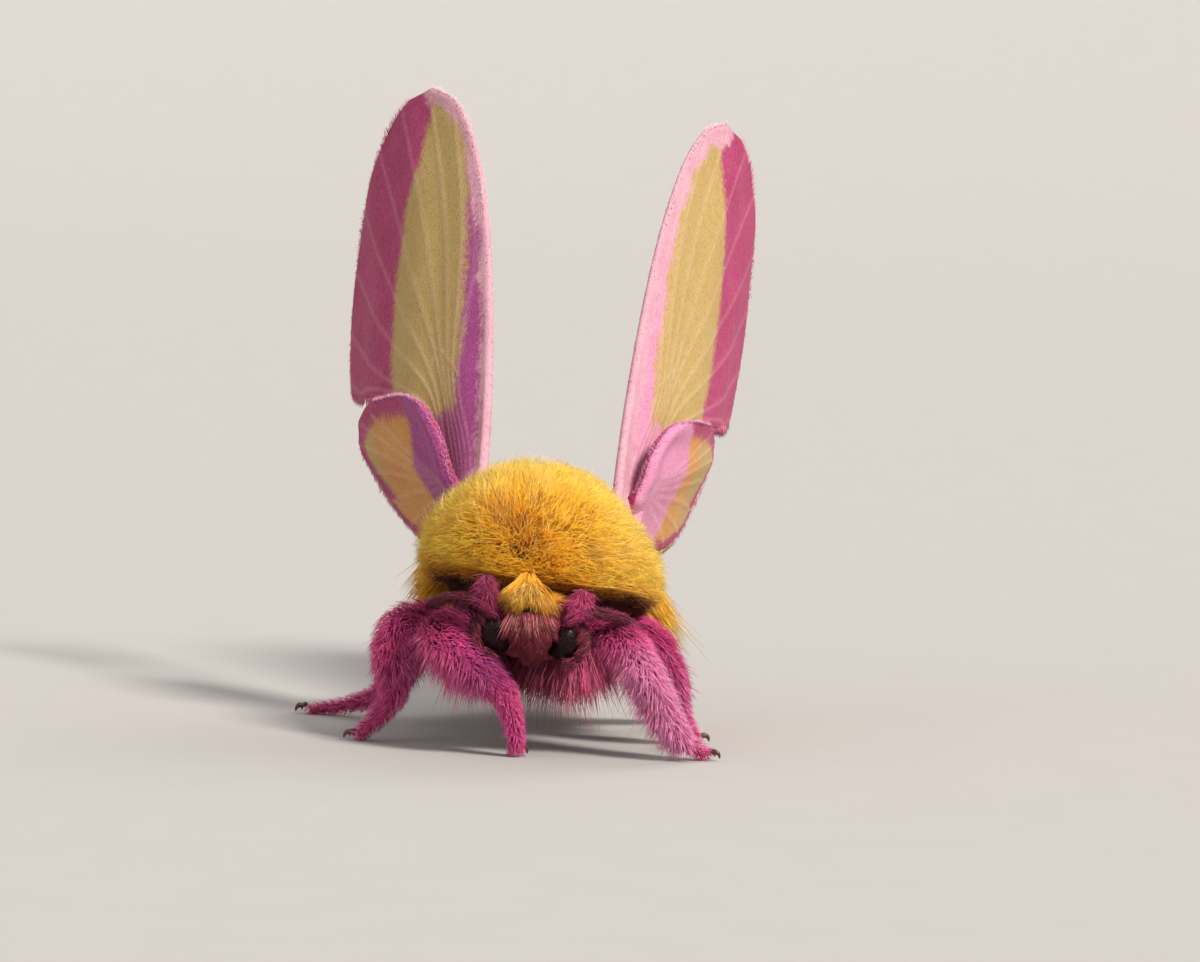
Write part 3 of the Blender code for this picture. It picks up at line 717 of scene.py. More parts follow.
def limb_surface(limb, rows=70, columns=18):
    def point(lat, turn):
        u = (lat + 1) / 2
        rounding = np.sqrt(np.clip(1 - np.maximum(0, np.abs(lat) - 0.93) ** 2 / 0.07 ** 2, 0, 1))
        middle = limb.middle(u)
        rim = limb.at(u, turn * TWO_PI, np.zeros(len(u)))
        return middle + (rim - middle) * rounding[:, None]
    return grid_closed(point, rows, columns)


def coat_colour(p):
    """The coat's colour at points of the body, as (root, tip) colours."""
    x, y, z = p.T
    centre = np.exp(-((x + 0.1) / 2.6) ** 2) * step(-0.5, -3.0, y) * step(10.2, 8.8, z)
    tip = tint(PALE_GOLD, GOLD, 0.25 + 0.65 * centre)
    root = tint(GOLD, AMBER, 0.25 + 0.40 * centre)
    # painted shade: the hair along the parting on the front of the collar is darkened to a deeper orange
    valley = 0.22 - np.clip(z - 7.0, -2, 3) * 0.85
    part = np.exp(-((x - valley) / 0.42) ** 2) * step(-1.5, -3.0, y) * step(9.2, 8.4, z) * step(5.6, 6.3, z)
    tip, root = tint(tip, (0.80, 0.30, 0.006), 0.55 * part), tint(root, (0.80, 0.28, 0.006), 0.75 * part)
    # under the body the coat turns pink; in the hollow behind the face and under the collar's front edge it is painted
    # dark maroon, as shade
    under = step(4.8, 3.3, z + 0.30 * np.sin(2.1 * x + 1.3 * y) * np.sin(1.7 * y - 0.8 * x))
    tip = tint(tip, DULL_PINK, under)
    root = tint(root, PURPLE, under)
    hollow = step(5.2, 4.6, z) * step(-1.2, -2.0, y) * step(4.4, 3.6, np.abs(x))
    shade = step(0.0, -0.25, z - collar_edge(x)) * below_collar(p)
    hollow = np.maximum(hollow, shade)
    return tint(root, SHADE_MAROON, hollow), tint(tip, SHADE_MAROON, hollow)


def build_skin(material):
    points, faces, kinds = [], [], []
    shapes = [(form_surface(THORAX), 0), (form_surface(ABDOMEN), 0), (form_surface(HEAD, 30, 40), 1),
              (form_surface(PALPS, 24, 28), 2)]
    shapes += [(limb_surface(limb), 3) for limb in LIMBS.values()]
    shapes += [(limb_surface(limb, 50, 14), 4) for limb in FEELERS.values()]
    total = 0
    for (more, loops), kind in shapes:
        points.append(more)
        faces += [tuple(i + total for i in face) for face in loops]
        kinds.append(np.full(len(more), kind))
        total += len(more)
    sources, kinds = np.vstack(points), np.concatenate(kinds)
    skin = object_of("skin", sources, faces)
    remesh = skin.modifiers.new("one", "REMESH")
    remesh.mode, remesh.voxel_size = "VOXEL", 0.10 * MM
    soften = skin.modifiers.new("soften", "SMOOTH")
    soften.factor, soften.iterations = 0.5, 4
    bpy.context.view_layer.update()
    graph = bpy.context.evaluated_depsgraph_get()
    mesh = bpy.data.meshes.new_from_object(skin.evaluated_get(graph))
    skin.modifiers.clear()
    skin.data = mesh
    mesh.shade_smooth()
    p = np.empty(len(mesh.vertices) * 3, np.float32)
    mesh.vertices.foreach_get("co", p)
    p = p.reshape(-1, 3) / MM - SHIFT
    kind = np.zeros(len(p), int)
    for start in range(0, len(p), 3000):
        some = p[start:start + 3000]
        far = (sources ** 2).sum(1)[None, :] - 2 * some @ sources.T
        kind[start:start + 3000] = kinds[np.argmin(far, axis=1)]
    root, tip = coat_colour(p)
    colour = 0.75 * root + 0.15 * tip
    # painted shade: the head skin is dark maroon low down, the leg skin darker near the body and the antennae's skin
    # nearly black; the palps' skin is darker towards the bottom
    colour = np.where((kind == 1)[:, None], tint(SHADE_MAROON, (0.30, 0.09, 0.02), step(5.0, 5.5, p[:, 2])), colour)
    colour = np.where((kind == 2)[:, None], tint(SHADE_MAROON, (0.30, 0.07, 0.10), step(3.4, 4.4, p[:, 2])), colour)
    colour = np.where((kind == 3)[:, None], tint((0.22, 0.022, 0.07), (0.42, 0.04, 0.14), step(4.2, 2.6, p[:, 2])), colour)
    colour = np.where((kind == 4)[:, None], np.array((0.06, 0.009, 0.013)), colour)
    colour_attribute(skin, "coat", colour)
    mesh.materials.clear()
    mesh.materials.append(material)
    return finish_piece(skin, "skin", "thorax", "abdomen", "head", "labial_palps", "antenna_left",
                        "antenna_right", *LEGS)


# ================================================================ coats
def from_parting(n):
    """Steps along the surface away from the parting, and their length."""
    whorl, foot = normed(np.array((-0.24, -0.80, 0.50))), normed(np.array((0.0, -1.0, -0.07)))
    share = np.clip(((n - whorl) @ (foot - whorl)) / ((foot - whorl) ** 2).sum(), 0, 1)
    away = n - normed(whorl + share[:, None] * (foot - whorl))
    away = away - (away * n).sum(1, keepdims=True) * n
    return away, np.linalg.norm(away, axis=1)


def thorax_comb(n):
    """Away from a short parting on the front of the collar, and down on the front and sides."""
    x, y, z = n.T
    down = np.stack([x * z, y * z, z * z - 1], -1)
    away, far = from_parting(n)
    away = away / (far + 0.035)[:, None]
    return 0.82 * away + down * (0.72 * step(0.75, 0.15, z) * step(0.02, 0.22, far))[:, None]


def below_collar(p):
    """1 on the front of the body under the collar, 0 behind and at its flanks."""
    wide = np.where(p[:, 0] < 0, 4.75, 4.25)
    back = 1.0 + 1.4 * step(3.5, 3.0, np.abs(p[:, 0]))
    return step(back, back - 1.2, p[:, 1]) * step(0.0, -0.45, np.abs(p[:, 0]) - wide)


def collar_edge(x):
    """Height of the collar's lower edge above the face, at x."""
    return np.interp(x, (-4.3, -2.2, -1.2, 1.2, 1.9, 3.6, 4.4), (6.38, 6.28, 6.02, 5.86, 5.74, 5.60, 5.50))


def build_thorax_coat(material):
    def density(n):
        visible = 0.40 + 0.60 * step(0.55, -0.25, n[:, 1])
        visible = visible * (0.62 + 0.38 * np.exp(-(from_parting(n)[1] / 0.16) ** 2) * (n[:, 1] < 0))
        return np.where(n[:, 2] < -0.42, 0.16, visible)

    n = THORAX.scatter(39800, density)
    n = n[np.argsort(np.arctan2(n[:, 1], n[:, 0]))]
    for name, part, rings in (("coat_thorax_front", n[n[:, 1] < 0.05], 4), ("coat_thorax_back", n[n[:, 1] >= 0.05], 3)):
        count = len(part)
        root_at = THORAX.at(part, np.full(count, 0.5))
        above = root_at[:, 2] - collar_edge(root_at[:, 0])
        front = below_collar(root_at)
        brink = np.exp(-((above - 0.35) / 0.38) ** 2) * step(0.1, -0.3, part[:, 1])
        under = step(0.03, -0.16, above) * front
        reach = np.where(part[:, 2] < -0.35, 0.16, 0.30 - 0.08 * step(0.5, 0.85, part[:, 2]))
        limit = (np.maximum(above, 0) + 0.16 + 0.42 * rng.random(count) ** 1.5) / 7.5
        reach = reach * (1 - 0.45 * under)
        reach = np.where(front > 0.5, np.minimum(reach, limit), reach)
        hang = 0.30 * brink * (1 - under)
        paths, group = body_hairs(THORAX, part, thorax_comb, reach, 1.0, 0.32, count // 9, wave=0.04, rings=rings,
                                  loose=0.07, hang=hang)
        root, tip = coat_colour(THORAX.at(part, np.full(count, 0.7)))
        lobe = 1 + (0.07 * rng.normal(size=count))[group]
        root, tip = root * lobe[:, None], tip * lobe[:, None]
        # the hollow beneath the collar's edge is painted dark, as shade
        collar_shade = tint((0.085, 0.012, 0.012), (0.20, 0.045, 0.010), step(2.6, 4.2, np.abs(root_at[:, 0])))
        root, tip = tint(root, (0.040, 0.007, 0.006), under), tip * (1 - under)[:, None] + collar_shade * under[:, None]
        # painted shade: an amber-brown band along the collar's lower edge, stronger on the moth's right side, away from
        # the key light
        warm = np.exp(-((above - 0.18) / 0.30) ** 2) * front * (1 - under)
        tip = tint(tip, (0.66, 0.19, 0.008), 0.85 * warm * (0.5 + 0.5 * step(0.5, -1.5, root_at[:, 0])))
        root = tint(root, (0.30, 0.07, 0.006), 0.7 * warm)
        hairs(name, paths, rng.uniform(0.013, 0.024, count), varied(root, 0.10, count),
              varied(tip, 0.11, count), THORAX.cells(part), material, "fur_yellow", rise=0.42)

    # fine loose hairs standing above the crown and at the sides
    n = THORAX.scatter(2600, lambda m: step(0.05, 0.5, m[:, 2]) + 0.70 * (m[:, 2] > -0.05))
    paths, _ = body_hairs(THORAX, n, lambda m: thorax_comb(m) * 0.5 + rng.normal(size=m.shape) * 0.4, 0.24, 1.24,
                          0.0, 10, wave=0.05, rings=4, loose=0.10)
    _, tip = coat_colour(THORAX.at(n, np.full(len(n), 0.9)))
    tip = tint(tip, (1.0, 0.80, 0.34), np.full(len(n), 0.6))
    hairs("coat_thorax_loose", paths, 0.011, tip * 0.85, varied(tip, 0.05, len(n)), THORAX.cells(n), material,
          "fur_yellow")

    # the long hair of the flanks
    n = THORAX.scatter(3600, lambda m: step(-0.36, -0.26, m[:, 2]) * step(0.22, 0.05, m[:, 2]) * step(-0.05, 0.18, m[:, 1])
                       * step(0.40, 0.55, np.abs(m[:, 0])))
    root_at = THORAX.at(n, np.full(len(n), 0.30))
    sign = np.sign(n[:, 0])
    direction = np.stack([0.72 * sign, 0.10 + 0 * sign, -0.85 + 0 * sign], -1)
    paths = thrown_hairs(root_at, direction, 1.60 + 0.35 * (sign > 0), (0, 0.02, 0.15), 0.35, 500, 0.14)
    hairs("coat_flanks", paths, rng.uniform(0.015, 0.026, len(n)), varied(tint(AMBER, GOLD, np.full(len(n), 0.5)), 0.1, len(n)),
          varied(tint(GOLD, PALE_GOLD, rng.random(len(n))), 0.09, len(n)), THORAX.cells(n), material, "fur_yellow")


def build_abdomen_coat(material):
    def comb(n):
        return np.stack([0 * n[:, 0], 1 + 0 * n[:, 0], -0.15 + 0 * n[:, 0]], -1)

    n = ABDOMEN.scatter(12600, lambda m: np.where(m[:, 2] < -0.3, 0.6, 1.0) * step(-0.92, -0.7, m[:, 1]))
    n = n[np.argsort(n[:, 1])]
    paths, group = body_hairs(ABDOMEN, n, comb, 0.22, 1.0, 0.20, 2600, wave=0.02, rings=3, loose=0.05)
    at = ABDOMEN.at(n, np.full(len(n), 0.8))
    root, tip = coat_colour(at)
    band = 0.5 + 0.5 * np.cos((at[:, 1] - 4.6) * TWO_PI / 1.55)
    tip = tip * (0.92 + 0.08 * band)[:, None]
    tip = tint(tip, PALE_GOLD, 0.35 * band * step(3.6, 5.2, at[:, 2]))
    hairs("coat_abdomen", paths, rng.uniform(0.026, 0.040, len(n)), varied(root, 0.10, len(n)),
          varied(tip, 0.07, len(n)), ABDOMEN.cells(n), material, "fur_yellow")


def build_head_coat(yellow, pink):
    eyes = np.array([bank(np.array([0.12 + side * 1.25, -3.85, 4.30]), 4.0) for side in (-1, 1)])

    def comb(n):
        return np.stack([0.5 * n[:, 0], -0.3 + 0 * n[:, 0], -1 + 0 * n[:, 0]], -1)

    n = HEAD.scatter(5200, lambda m: step(0.5, -0.2, m[:, 1]) + 0.12)
    paths, group = body_hairs(HEAD, n, comb, 0.34, 1.0, 0.4, 700, wave=0.05, rings=3, loose=0.10)
    at = paths[:, 0]
    clear = np.min([np.linalg.norm(paths - eye, axis=2).min(1) for eye in eyes], axis=0) > 0.78
    x, y, z = at.T
    gold = step(5.05, 5.45, z) * step(0.95, 0.60, np.abs(x + 0.10))
    tip = tint(DULL_PINK, FACE_GOLD, gold)
    root = tint(SHADE_MAROON, AMBER, gold)
    # painted shade: the hair at the sides of the face, round the eyes, is darkened nearly to black
    side = step(0.8, 1.3, np.abs(x))
    tip = tint(tip, (0.13, 0.012, 0.020), 0.85 * side * (1 - gold))
    cells = HEAD.cells(n)
    hairs("coat_head", paths[clear], rng.uniform(0.014, 0.022, clear.sum()), varied(root[clear], 0.12, clear.sum()),
          varied(tip[clear], 0.10, clear.sum()), cells[clear], pink, "fur_pink")

    # the gold wedge of hair that falls over the snout in two prongs, out of the collar above it
    count = 2300
    w = rng.uniform(-1, 1, count)
    deep = rng.random(count)
    root_at = np.stack([-0.05 + (0.13 + 0.42 * (1 - deep)) * w, -4.18 - 0.36 * (1 - deep), 5.50 + 0.98 * deep + 0.08 * np.abs(w)], -1)
    low = np.interp(w, (-1, -0.78, -0.48, -0.22, 0.0, 0.22, 0.50, 0.72, 0.88, 1),
                    (5.86, 5.48, 5.12, 5.26, 5.58, 5.34, 4.98, 4.94, 5.16, 5.55))
    short = 0.55 * deep * rng.random(count)
    end = np.stack([-0.03 + 0.99 * w, -5.00 + 0.24 * np.abs(w), low], -1)
    way = (end - root_at) * (1 - short)[:, None]
    reach = np.linalg.norm(way, axis=1)
    paths = thrown_hairs(root_at, way / reach[:, None], reach, (0, -0.15, 0.10), 0.72, 62, 0.10)
    cells = np.stack([0.60 + 0.04 * w, 0.44 + 0.02 * deep], -1)
    lock = (rng.random(400))[clumps(end, 62) % 400]
    brow = tint((0.78, 0.30, 0.010), (1.0, 0.60, 0.09), np.clip(0.75 * lock + 0.35 * rng.random(count), 0, 1))
    brow = tint(brow, (0.92, 0.36, 0.06), 0.5 * step(5.35, 4.95, end[:, 2]))
    hairs("coat_brow", paths, rng.uniform(0.014, 0.022, count), varied(tint((0.20, 0.05, 0.006), (0.90, 0.40, 0.01), 0.15 + 0.85 * deep), 0.1, count),
          varied(brow, 0.10, count), cells, yellow, "fur_yellow", rise=0.60)

    # single pale hairs standing over the wedge
    count = 260
    w, deep = rng.uniform(-1, 1, count), rng.random(count)
    root_at = np.stack([-0.05 + 0.45 * w * (1.2 - deep), -4.60 + 0 * w, 5.50 + 0.70 * deep], -1)
    direction = np.stack([0.75 * w, -0.85 + 0 * w, -0.55 + 0 * w], -1)
    paths = thrown_hairs(root_at, direction, 0.62, (0, 0.02, 0.10), 0.2, 60, 0.25)
    cells = np.stack([0.60 + 0.04 * w, 0.44 + 0.02 * deep], -1)
    hairs("coat_brow_loose", paths, rng.uniform(0.009, 0.013, count), np.tile((0.85, 0.42, 0.04), (count, 1)),
          varied(np.tile((1.0, 0.74, 0.22), (count, 1)), 0.06, count), cells, yellow, "fur_yellow")


def build_palp_coat(material):
    def comb(n):
        return np.stack([-0.25 * n[:, 0], -0.15 + 0 * n[:, 0], -1 + 0 * n[:, 0]], -1)

    n = PALPS.scatter(2800, lambda m: step(0.6, -0.1, m[:, 1]) + 0.2)
    paths, group = body_hairs(PALPS, n, comb, 0.40, 1.22, 0.55, 150, wave=0.10, rings=3, loose=0.18)
    paths = paths + np.array((0.16, -0.06, 0.20))
    x, z = paths[:, 0, 0], paths[:, 0, 2]
    tip = tint((0.14, 0.010, 0.024), (0.42, 0.050, 0.11), step(3.6, 5.0, z))
    # painted shade: the palps' hair is darker on the moth's right side, away from the key light
    tip = tint(tip, (0.10, 0.008, 0.014), 0.6 * step(-0.3, -0.9, x))
    root = tint(SHADE_MAROON, (0.28, 0.04, 0.07), step(3.8, 5.0, z))
    hairs("coat_palps", paths, rng.uniform(0.013, 0.020, len(n)), varied(root, 0.15, len(n)),
          varied(tip, 0.22, len(n)), PALPS.cells(n), material, "fur_pink")

    count = 1300
    w, deep = np.clip(rng.normal(size=count) * 0.5, -1, 1), rng.random(count)
    root_at = np.stack([0.00 + 0.72 * w, -4.62 - 0.28 * deep + 0.12 * np.abs(w), 4.60 + 0.62 * deep], -1)
    direction = np.stack([0.12 + 0.60 * w, -0.42 + 0.1 * deep, -1 + 0 * w], -1)
    paths = thrown_hairs(root_at, direction, 0.62 + 0.15 * deep, (0, -0.10, 0.03), 0.62, 58, 0.16)
    tip = tint((0.30, 0.030, 0.075), (1.0, 0.45, 0.38), rng.random(count) ** 1.7 * step(0.10, 0.7, deep))
    root = np.tile((0.24, 0.03, 0.05), (count, 1)).astype(float)
    cells = np.stack([0.76 + 0.03 * w, 0.44 + 0.02 * deep], -1)
    hairs("coat_snout", paths, rng.uniform(0.013, 0.019, count), varied(root, 0.15, count),
          varied(tip, 0.20, count), cells, material, "fur_pink")

    paths, cells = [], []
    for sign in (-1, 1):
        eye = bank(np.array([0.12 + sign * 1.25, -3.85, 4.30]), 4.0)
        count = 1000
        turn = rng.uniform(-1.4, 3.4, count)
        around = np.stack([sign * np.cos(turn), 0 * turn, np.sin(turn)], -1)
        root_at = eye + around * rng.uniform(0.66, 0.95, count)[:, None] + np.array((0, -1, 0)) * rng.uniform(0.15, 0.45, count)[:, None]
        direction = np.stack([-0.30 * sign + 0 * turn, -0.50 + 0 * turn, -0.75 + 0 * turn], -1) - 0.42 * around
        paths.append(thrown_hairs(root_at, direction, 0.50, (0, -0.10, 0.04), 0.35, 80, 0.18, rings=3))
        cells.append(np.stack([0.60 + sign * (0.03 + 0.02 * turn / 2.5), 0.36 + 0.01 * np.sin(turn)], -1))
    paths, cells = np.vstack(paths), np.vstack(cells)
    count = len(paths)
    tip = tint((0.16, 0.016, 0.032), (0.58, 0.09, 0.20), rng.random(count) ** 1.8)
    hairs("coat_lashes", paths, rng.uniform(0.012, 0.018, count), np.tile(SHADE_MAROON, (count, 1)) * np.ones((count, 3)),
          varied(tip, 0.12, count), cells, material, "fur_pink")


def leg_colours(name, u, p):
    """Magenta at the feet; painted shade makes the thighs darker and the hair in the hollow under the collar nearly
    maroon.
    """
    root = tint(PURPLE, (0.62, 0.03, 0.16), step(0.30, 0.75, u))
    tip = tint((0.80, 0.075, 0.29), (1.0, 0.145, 0.46), step(0.25, 0.75, u))
    # painted highlight: pale rose on the shin of the left fore leg, which faces the key light
    if name == "leg_fore_left":
        tip = tint(tip, HIGHLIGHT_ROSE, 0.85 * step(0.32, 0.50, u) * step(0.98, 0.84, u))
        root = tint(root, (0.95, 0.11, 0.38), 0.85 * step(0.22, 0.38, u) * step(0.98, 0.84, u))
    # painted shade: purple on the upper inner hair of the right fore leg
    if name == "leg_fore_right":
        tip = tint(tip, (0.34, 0.05, 0.27), 0.75 * step(-2.9, -1.9, p[:, 0]) * step(2.3, 3.0, p[:, 2]))
    # painted shade: the leg hair high up under the collar is darkened nearly to maroon
    high = step(4.1, 4.85, p[:, 2]) * step(-1.0, -2.2, p[:, 1])
    return tint(root, SHADE_MAROON, 0.9 * high), tint(tip, (0.15, 0.016, 0.035), 0.88 * high)


def build_leg_coats(material):
    for name, limb in LIMBS.items():
        fore = "fore" in name
        count = 5600 if fore else 3200
        start = 0.14 if fore else 0.20
        pick = rng.random(count * 3) * (1 - start) + start
        weight = np.interp(pick, limb.arc, limb.radius)
        u = pick[rng.random(len(pick)) < weight / weight.max()][:count]
        a = rng.random(len(u)) * TWO_PI
        radius = np.interp(u, limb.arc, limb.radius)
        length = np.interp(radius, (0.34, 0.45, 0.70, 0.95), (0.20, 0.28, 0.50, 0.62))
        paths, group = limb_hairs(limb, u, a, length, 1.10, 0.22, 1300, lift=0.5, wave=0.35)
        root, tip = leg_colours(name, u, paths[:, 0])
        thick = np.interp(radius, (0.34, 0.9), (0.013, 0.019)) * rng.uniform(0.8, 1.25, len(u))
        hairs("coat_" + name, paths, thick, varied(root, 0.15, len(u)), varied(tip, 0.18, len(u)),
              limb.cells(u, a), material, "fur_pink")

    # longer hair hanging from the thighs and shins
    for name, low, high, count, length, out in (
            ("leg_fore_right", 0.10, 0.66, 2300, 1.05, 0.75), ("leg_fore_left", 0.10, 0.88, 2700, 0.95, 0.95),
            ("leg_mid_right", 0.25, 0.72, 1000, 0.80, 0.80), ("leg_mid_left", 0.25, 0.75, 1000, 0.80, 0.85),
            ("leg_hind_right", 0.22, 0.72, 800, 0.70, 0.70), ("leg_hind_left", 0.22, 0.72, 800, 0.70, 0.70)):
        limb = LIMBS[name]
        u, a = rng.uniform(low, high, count * 2), rng.random(count * 2) * TWO_PI
        outward = limb.outward(u, a)
        keep = np.flatnonzero(outward[:, 2] < 0.45)[:count]
        u, a, outward = u[keep], a[keep], outward[keep]
        count = len(u)
        root_at = limb.at(u, a, np.full(count, 0.1))
        tangent = np.stack([np.interp(u, limb.arc, column) for column in limb.tangent.T], -1)
        direction = outward * out + np.array((0, 0, -0.75)) + 0.35 * tangent
        reach = length * (1 - (0.25 if name.endswith("left") else 0.55) * step(0.45, 0.80, u))
        paths = thrown_hairs(root_at, direction, reach, (0, -0.05, 0.05), 0.25, count // 4, 0.24, rings=3)
        root, tip = leg_colours(name, u, root_at)
        # painted highlight: pale rose tips at random and on the hair facing the moth's left side, where the key light
        # falls
        tip = tint(tip, HIGHLIGHT_ROSE, 0.35 * rng.random(count) + 0.25 * (outward[:, 0] > 0.4))
        hairs("coat_long_" + name[4:], paths, rng.uniform(0.012, 0.018, count), varied(root, 0.15, count),
              varied(tip, 0.16, count), limb.cells(u, a), material, "fur_pink")

    # the thick hair that hangs beneath the thorax between the fore legs
    for name, centre, half, low, count in (
            ("leg_fore_right", (-2.10, -3.20, 3.7), (0.95, 0.55, 0.5), 1.75, 1500),
            ("leg_fore_left", (1.20, -2.75, 3.7), (1.70, 0.65, 0.5), 1.50, 3500),
            ("leg_hind_left", (0.0, -2.10, 3.6), (2.0, 0.60, 0.4), 1.75, 1700)):
        angle, out = rng.random(count) * TWO_PI, np.sqrt(rng.random(count))
        ex, ey = out * np.cos(angle), out * np.sin(angle)
        root_at = np.stack([centre[0] + ex * half[0], centre[1] + ey * half[1],
                            centre[2] + half[2] * (2 * rng.random(count) - 1)], -1)
        fall = (root_at[:, 2] - low) * (1 - 0.45 * np.abs(ex) ** 2.2) * rng.uniform(0.55, 1.0, count)
        direction = np.stack([0.28 * ex, -0.16 + 0.10 * ey, -1 + 0 * ex], -1)
        paths = thrown_hairs(root_at, direction, fall, (0, -0.14, 0.04), 0.22, count // 4, 0.24)
        dim = name == "leg_hind_left"
        root = np.tile(SHADE_MAROON if dim else PURPLE, (count, 1)).astype(float)
        tip = tint((0.34, 0.04, 0.11), (0.56, 0.09, 0.20), rng.random(count)) if dim else tint(
            (0.78, 0.06, 0.22), (0.98, 0.30, 0.45), rng.random(count) ** 1.3)
        # painted shade: the hair in the middle, under the snout, is darkened to maroon
        middle = step(-1.9, -1.3, root_at[:, 0]) * step(1.55, 0.65, root_at[:, 0])
        root, tip = tint(root, SHADE_MAROON, 0.8 * middle), tint(tip, (0.17, 0.018, 0.045), 0.90 * middle)
        limb = LIMBS[name]
        cells = limb.cells(0.15 + 0.2 * (ex + 1) / 2, angle)
        hairs("coat_breast" if dim else "coat_fringe_" + name[4:], paths, rng.uniform(0.013, 0.020, count),
              varied(root, 0.15, count), varied(tip, 0.18, count), cells, material, "fur_pink")


def build_feelers(material):
    """Two rows of side branches along each antenna, curved forward, with a fuzz between them."""
    for side, limb in FEELERS.items():
        steps = np.arange(0.02, 0.99, 0.018)
        u = np.repeat(steps, 4)
        a = np.tile([0.5, math.pi - 0.5, 0.9, math.pi - 0.9], len(steps)) + 0.05 * rng.normal(size=len(steps) * 4)
        rows = limb_hairs(limb, u, a, 0.34, 0.85, 0.0, 10, rings=4, lift=0.9, wave=0.05)[0]
        fuzz_u, fuzz_a = rng.random(900) * 0.98, rng.random(900) * TWO_PI
        fuzz = limb_hairs(limb, fuzz_u, fuzz_a, 0.30, 0.5, 0.3, 60, rings=4, wave=0.2)[0]
        # a pink tuft at the root, standing beside the brow
        count = 1000
        high, low, sign = (((-1.60, -4.34, 6.44), (-1.50, -4.48, 5.62), -1) if side == "right" else
                           ((1.84, -4.22, 6.02), (1.72, -4.40, 5.22), 1))
        share, turn = rng.random(count), rng.uniform(-math.pi, 0, count)
        outer = np.stack([np.cos(turn), np.sin(turn), 0 * turn], -1)
        width = 0.22 * np.sin(math.pi * np.clip(0.12 + 0.80 * share, 0, 1)) * rng.uniform(0.6, 1.2, count)
        root_at = np.asarray(high) + share[:, None] * (np.asarray(low) - high) + outer * width[:, None]
        tuft = thrown_hairs(root_at, outer * 0.50 + np.array((0.0, -0.10, -0.85)), 0.34 + 0.30 * rng.random(count), (0, -0.06, 0.05), 0.30, 90, 0.36)
        tuft_u, tuft_a = 0.02 + 0.20 * share, turn
        paths = np.vstack([rows, fuzz, tuft])
        total = len(paths)
        where = np.concatenate([u, fuzz_u, tuft_u])
        # painted shade: the antennae beyond their root tufts are darkened to a deep maroon; painted light: the left
        # antenna's root part and tuft, on the key light's side, are made brighter
        tip = tint((0.46, 0.055, 0.17), (0.19, 0.020, 0.048), step(0.22, 0.34, where))
        if side == "left":
            tip = tip * np.where(where < 0.22, 1.50, 1.0)[:, None]
        cells = limb.cells(where, np.concatenate([a, fuzz_a, tuft_a]))
        hairs("coat_antenna_" + side, paths, rng.uniform(0.012, 0.018, total), varied(tip * 0.35, 0.1, total),
              varied(tip, 0.12, total), cells, material, "fur_pink")


# ================================================================ wings
FOREWING_LENGTH = 20.5
COSTA = ((0.0, 0.0), (0.30, -0.014), (0.60, -0.012), (0.80, 0.010), (0.92, 0.050), (0.985, 0.110))
MARGIN = ((0.0, 0.06), (0.15, 0.10), (0.30, 0.165), (0.42, 0.262), (0.50, 0.355), (0.56, 0.428),
          (0.62, 0.476), (0.70, 0.488), (0.80, 0.450), (0.91, 0.375), (0.985, 0.270), (1.0, 0.180))
TORNUS = 0.56
HIND_UPPER = ((2.2, 9.0), (2.7, 10.8), (3.7, 11.9), (5.2, 12.15), (7.2, 11.95), (9.4, 11.55), (11.2, 10.8))
HIND_LOWER = ((2.4, 7.8), (3.4, 7.3), (5.0, 6.75), (6.8, 6.6), (8.6, 6.95), (10.2, 7.8), (11.2, 8.9), (11.6, 9.8))


def far_from(points, line):
    """Distance of plane points from a polyline."""
    best = np.full(len(points), 1e9)
    for a, b in zip(line[:-1], line[1:]):
        d = b - a
        t = np.clip(((points - a) @ d) / max(d @ d, 1e-12), 0, 1)
        best = np.minimum(best, np.linalg.norm(points - a - t[:, None] * d, axis=1))
    return best


def two_sided(name, mid, normal, thick, shape):
    """A closed thin body from a grid of middle points: first the side that normal points to."""
    rows, columns = shape
    top, under = mid + normal * (thick / 2)[:, None], mid - normal * (thick / 2)[:, None]
    count = rows * columns
    index = np.arange(count).reshape(rows, columns)
    faces = []
    for i in range(rows - 1):
        for j in range(columns - 1):
            a, b, c, d = index[i, j], index[i, j + 1], index[i + 1, j + 1], index[i + 1, j]
            faces.append((a, b, c, d))
            faces.append((a + count, d + count, c + count, b + count))
    rim = ([(index[0, j], index[0, j + 1]) for j in range(columns - 1)]
           + [(index[i, -1], index[i + 1, -1]) for i in range(rows - 1)]
           + [(index[-1, j + 1], index[-1, j]) for j in range(columns - 2, -1, -1)]
           + [(index[i + 1, 0], index[i, 0]) for i in range(rows - 2, -1, -1)])
    for a, b in rim:
        faces.append((b, a, a + count, b + count))
    obj = object_of(name, np.vstack([top, under]), faces)
    mesh = obj.data
    # the faces' turn may need reversing, as the grid's own may point either way
    loose = np.array([v.co for v in mesh.vertices])
    quad = np.array([list(mesh.polygons[k].vertices) for k in range(0, 200, 40)])
    turn = np.cross(loose[quad[:, 1]] - loose[quad[:, 0]], loose[quad[:, 2]] - loose[quad[:, 0]])
    if (turn * normal[quad[:, 0] % count]).sum() * (1 if quad[0, 0] < count else -1) < 0:
        mesh.flip_normals()
    return obj


